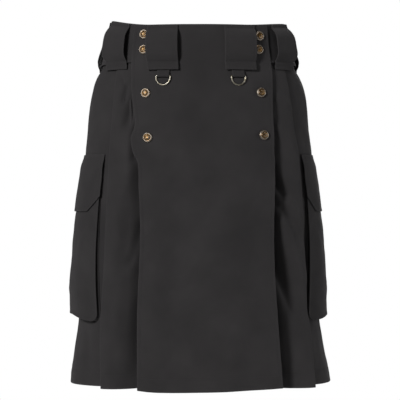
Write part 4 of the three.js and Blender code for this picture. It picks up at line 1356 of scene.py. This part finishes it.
def build_ring(side, spot):
    """The D-ring: round wire, its straight bar in the tab, its bow leaning back to the apron."""
    reach = (RING_WIDTH - RING_WIRE) / 2
    drop = RING_DROP - RING_WIRE / 2
    lean = math.asin((BAR_OUT + LAYER_GAP - RING_WIRE / 2 - RING_REST_GAP) / drop)
    path = [
        (reach * math.cos(angle), RING_CORNER + (drop - RING_CORNER) * math.sin(angle))
        for angle in np.linspace(0, math.pi, 41)
    ]
    for centre, first in ((-(reach - RING_CORNER), math.pi), (reach - RING_CORNER, 1.5 * math.pi)):
        path += [
            (centre + RING_CORNER * math.cos(angle), RING_CORNER + RING_CORNER * math.sin(angle))
            for angle in np.linspace(first, first + math.pi / 2, 7)[1:-1]
        ]
        path += [(0, 0)] if centre < 0 else []
    path = np.array(path)
    way = np.roll(path, -1, axis=0) - np.roll(path, 1, axis=0)
    way /= np.linalg.norm(way, axis=1, keepdims=True)
    points, faces = [], []
    for i, ((x, down), (way_x, way_down)) in enumerate(zip(path, way)):
        here, following = i * RING_SIDES, ((i + 1) % len(path)) * RING_SIDES
        for k in range(RING_SIDES):
            angle = 2 * math.pi * k / RING_SIDES
            in_plane, off_plane = RING_WIRE / 2 * math.cos(angle), RING_WIRE / 2 * math.sin(angle)
            dropped = down + way_x * in_plane
            inward = -BAR_OUT + dropped * math.sin(lean) + off_plane * math.cos(lean)
            up = -dropped * math.cos(lean) + off_plane * math.sin(lean)
            points.append((x - way_down * in_plane, inward, up))
            turn = (k + 1) % RING_SIDES
            faces.append((here + k, here + turn, following + turn, following + k))
    worn = np.full(len(points), RING_WORN)
    piece = make_mesh(f"d_ring_{side}_metal", put_on(points, spot) * MM, faces, brass, worn=worn)
    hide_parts(f"d_ring_{side}")
    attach(piece, f"ring_{side}")


# A snap's cap from its middle out: share of the radius and share of the height.
SNAP_PROFILE = (
    (0.08, 0.96), (0.16, 1.0), (0.26, 0.97), (0.34, 0.93), (0.42, 0.9), (0.5, 0.86), (0.56, 0.8),
    (0.6, 0.7), (0.64, 0.66), (0.68, 0.72), (0.73, 0.8), (0.79, 0.82), (0.85, 0.76), (0.91, 0.62),
    (0.96, 0.42), (1.0, 0.2), (1.0, 0.08), (0.96, 0.0), (0.7, -0.02),
)
SNAP_SIDES = 72
SNAP_TIP = 0.94
# From RIM_FROM out, the snap's cap is paler: partly rubbed wear, partly a painted highlight all round the
# rim.
RIM_FROM = 0.7
RIM_WEAR_AND_HIGHLIGHT = 0.85
# The petals and the beads: their number and height, and their place and width as shares of the radius.
PETALS = (8, 0.075, 0.38, 0.12)
BEADS = (24, 0.05, 0.79, 0.05)


def ornament(kind, angle, share):
    """The height of the petals or the beads at a place on the cap."""
    count, high, middle, width = kind
    return high * math.cos(count * angle) * math.exp(-(((share - middle) / width) ** 2))


def build_snap(name, spot):
    """A domed cap with a beaded rim and a plain rosette of eight petals."""
    points, faces, worn = [(0, -SNAP_HEIGHT * SNAP_TIP, 0)], [], [0]
    for share, high in SNAP_PROFILE:
        for k in range(SNAP_SIDES):
            angle = 2 * math.pi * k / SNAP_SIDES
            petal, bead = ornament(PETALS, angle, share), ornament(BEADS, angle, share)
            radius = share * SNAP_RADIUS
            out = (high + petal + bead) * SNAP_HEIGHT
            points.append((radius * math.cos(angle), -out, radius * math.sin(angle)))
            # Paler on the rim, the beads and the petals: rubbed wear, and on the rim a painted highlight as
            # well.
            worn.append(min(max(RIM_WEAR_AND_HIGHLIGHT * (share > RIM_FROM) + 4 * petal + 4 * bead, 0), 1))
    points.append((0, 0, 0))
    worn.append(0)
    last = len(points) - 1
    end = last - SNAP_SIDES
    for k in range(SNAP_SIDES):
        turn = (k + 1) % SNAP_SIDES
        faces.append((0, 1 + k, 1 + turn))
        for here in range(1, end, SNAP_SIDES):
            below = here + SNAP_SIDES
            faces.append((here + k, below + k, below + turn, here + turn))
        faces.append((end + k, last, end + turn))
    piece = make_mesh(name + "_cap", put_on(points, spot) * MM, faces, copper, worn=worn)
    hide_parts(name)
    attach(piece, "kilt")


def build_threads(name):
    piece = thread_mesh(name, thread)
    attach(piece, "kilt")


def build_kilt():
    build_apron()
    build_waistband()
    build_skirt()
    build_threads("skirt_stitches")
    for number, (side, sign) in enumerate((("left", -1), ("right", 1))):
        build_pocket_face(side, sign)
        build_gusset(side, sign)
        build_flap(side, sign)
        for kind, place_share, bottom, flat in LOOPS:
            build_loop(f"loop_{kind}_{side}", sign, place_share, bottom, flat, 91 + number)
        spot = ring_spot(side)
        build_tab(side, spot)
        build_ring(side, spot)
        for i, (u, z) in enumerate(SNAPS[side]):
            build_snap(f"snap_{side}_{i + 1}", apron_frame(u, z, SEAM_GAP))
    build_loop("loop_back", 1, 1.0, LOOPS[2][2], LOOPS[2][3], 95)
    build_threads("pocket_and_loop_stitches")


# Each light's place, the height that it aims at on the kilt's axis, its width, all in metres, and its watts.
LIGHTS = (
    ("key", (-1.6, -2.4, 0.8), -0.3, 0.7, 72),
    ("fill", (2.7, -0.4, 0.1), -0.3, 1.6, 22),
    ("top", (0.2, 0.8, 2.2), -0.2, 1.6, 9),
    ("back", (0.3, 2.9, 0.5), -0.3, 2.0, 62),
)
ROOM_LIGHT = 0.14
FLOOR_BELOW_M = 0.2
FLOOR_RADIUS_M = 0.9


def area_light(name, place_m, aim_z, size, power):
    light = bpy.data.lights.new(name, "AREA")
    light.shape = "DISK"
    light.size = size
    light.energy = power
    lamp = bpy.data.objects.new(name, light)
    bpy.context.scene.collection.objects.link(lamp)
    lamp.location = place_m
    way = np.array((0, 0, aim_z)) - np.array(place_m)
    tilt = math.atan2(math.hypot(way[0], way[1]), -way[2])
    lamp.rotation_euler = (tilt, 0, math.atan2(way[1], way[0]) - math.pi / 2)


def build_studio():
    """A white room with a pale floor, and soft light that comes most from the viewer's left."""
    middle = (0, 0, HEM_Z * MM - FLOOR_BELOW_M)
    bpy.ops.mesh.primitive_circle_add(vertices=96, radius=FLOOR_RADIUS_M, fill_type="NGON", location=middle)
    floor = bpy.context.object
    floor.name = "floor"
    material, _, _, surface = new_shader("floor", (0.86, 0.86, 0.86), 0.7)
    floor.data.materials.append(material)
    world = bpy.data.worlds.new("studio")
    bpy.context.scene.world = world
    world.use_nodes = True
    nodes, links = world.node_tree.nodes, world.node_tree.links
    background = nodes["Background"]
    background.inputs["Color"].default_value = (1, 1, 1, 1)
    seen = nodes.new("ShaderNodeLightPath").outputs["Is Camera Ray"]
    links.new(from_to(nodes, links, seen, ROOM_LIGHT, 1.0), background.inputs["Strength"])
    for light in LIGHTS:
        area_light(*light)


CAMERA_M = (0.0026, -3.0, -0.268)
CAMERA_SENSOR = 36
CAMERA_LENS = 155.25


def build_camera():
    """The photograph's view: level, at half the kilt's height."""
    camera = bpy.data.cameras.new("camera")
    camera.sensor_width = CAMERA_SENSOR
    camera.lens = CAMERA_LENS
    holder = bpy.data.objects.new("camera", camera)
    bpy.context.scene.collection.objects.link(holder)
    holder.location = CAMERA_M
    holder.rotation_euler = (math.pi / 2, 0, 0)
    bpy.context.scene.camera = holder


build_kilt()
build_studio()
build_camera()
bpy.context.scene.view_settings.view_transform = "Standard"
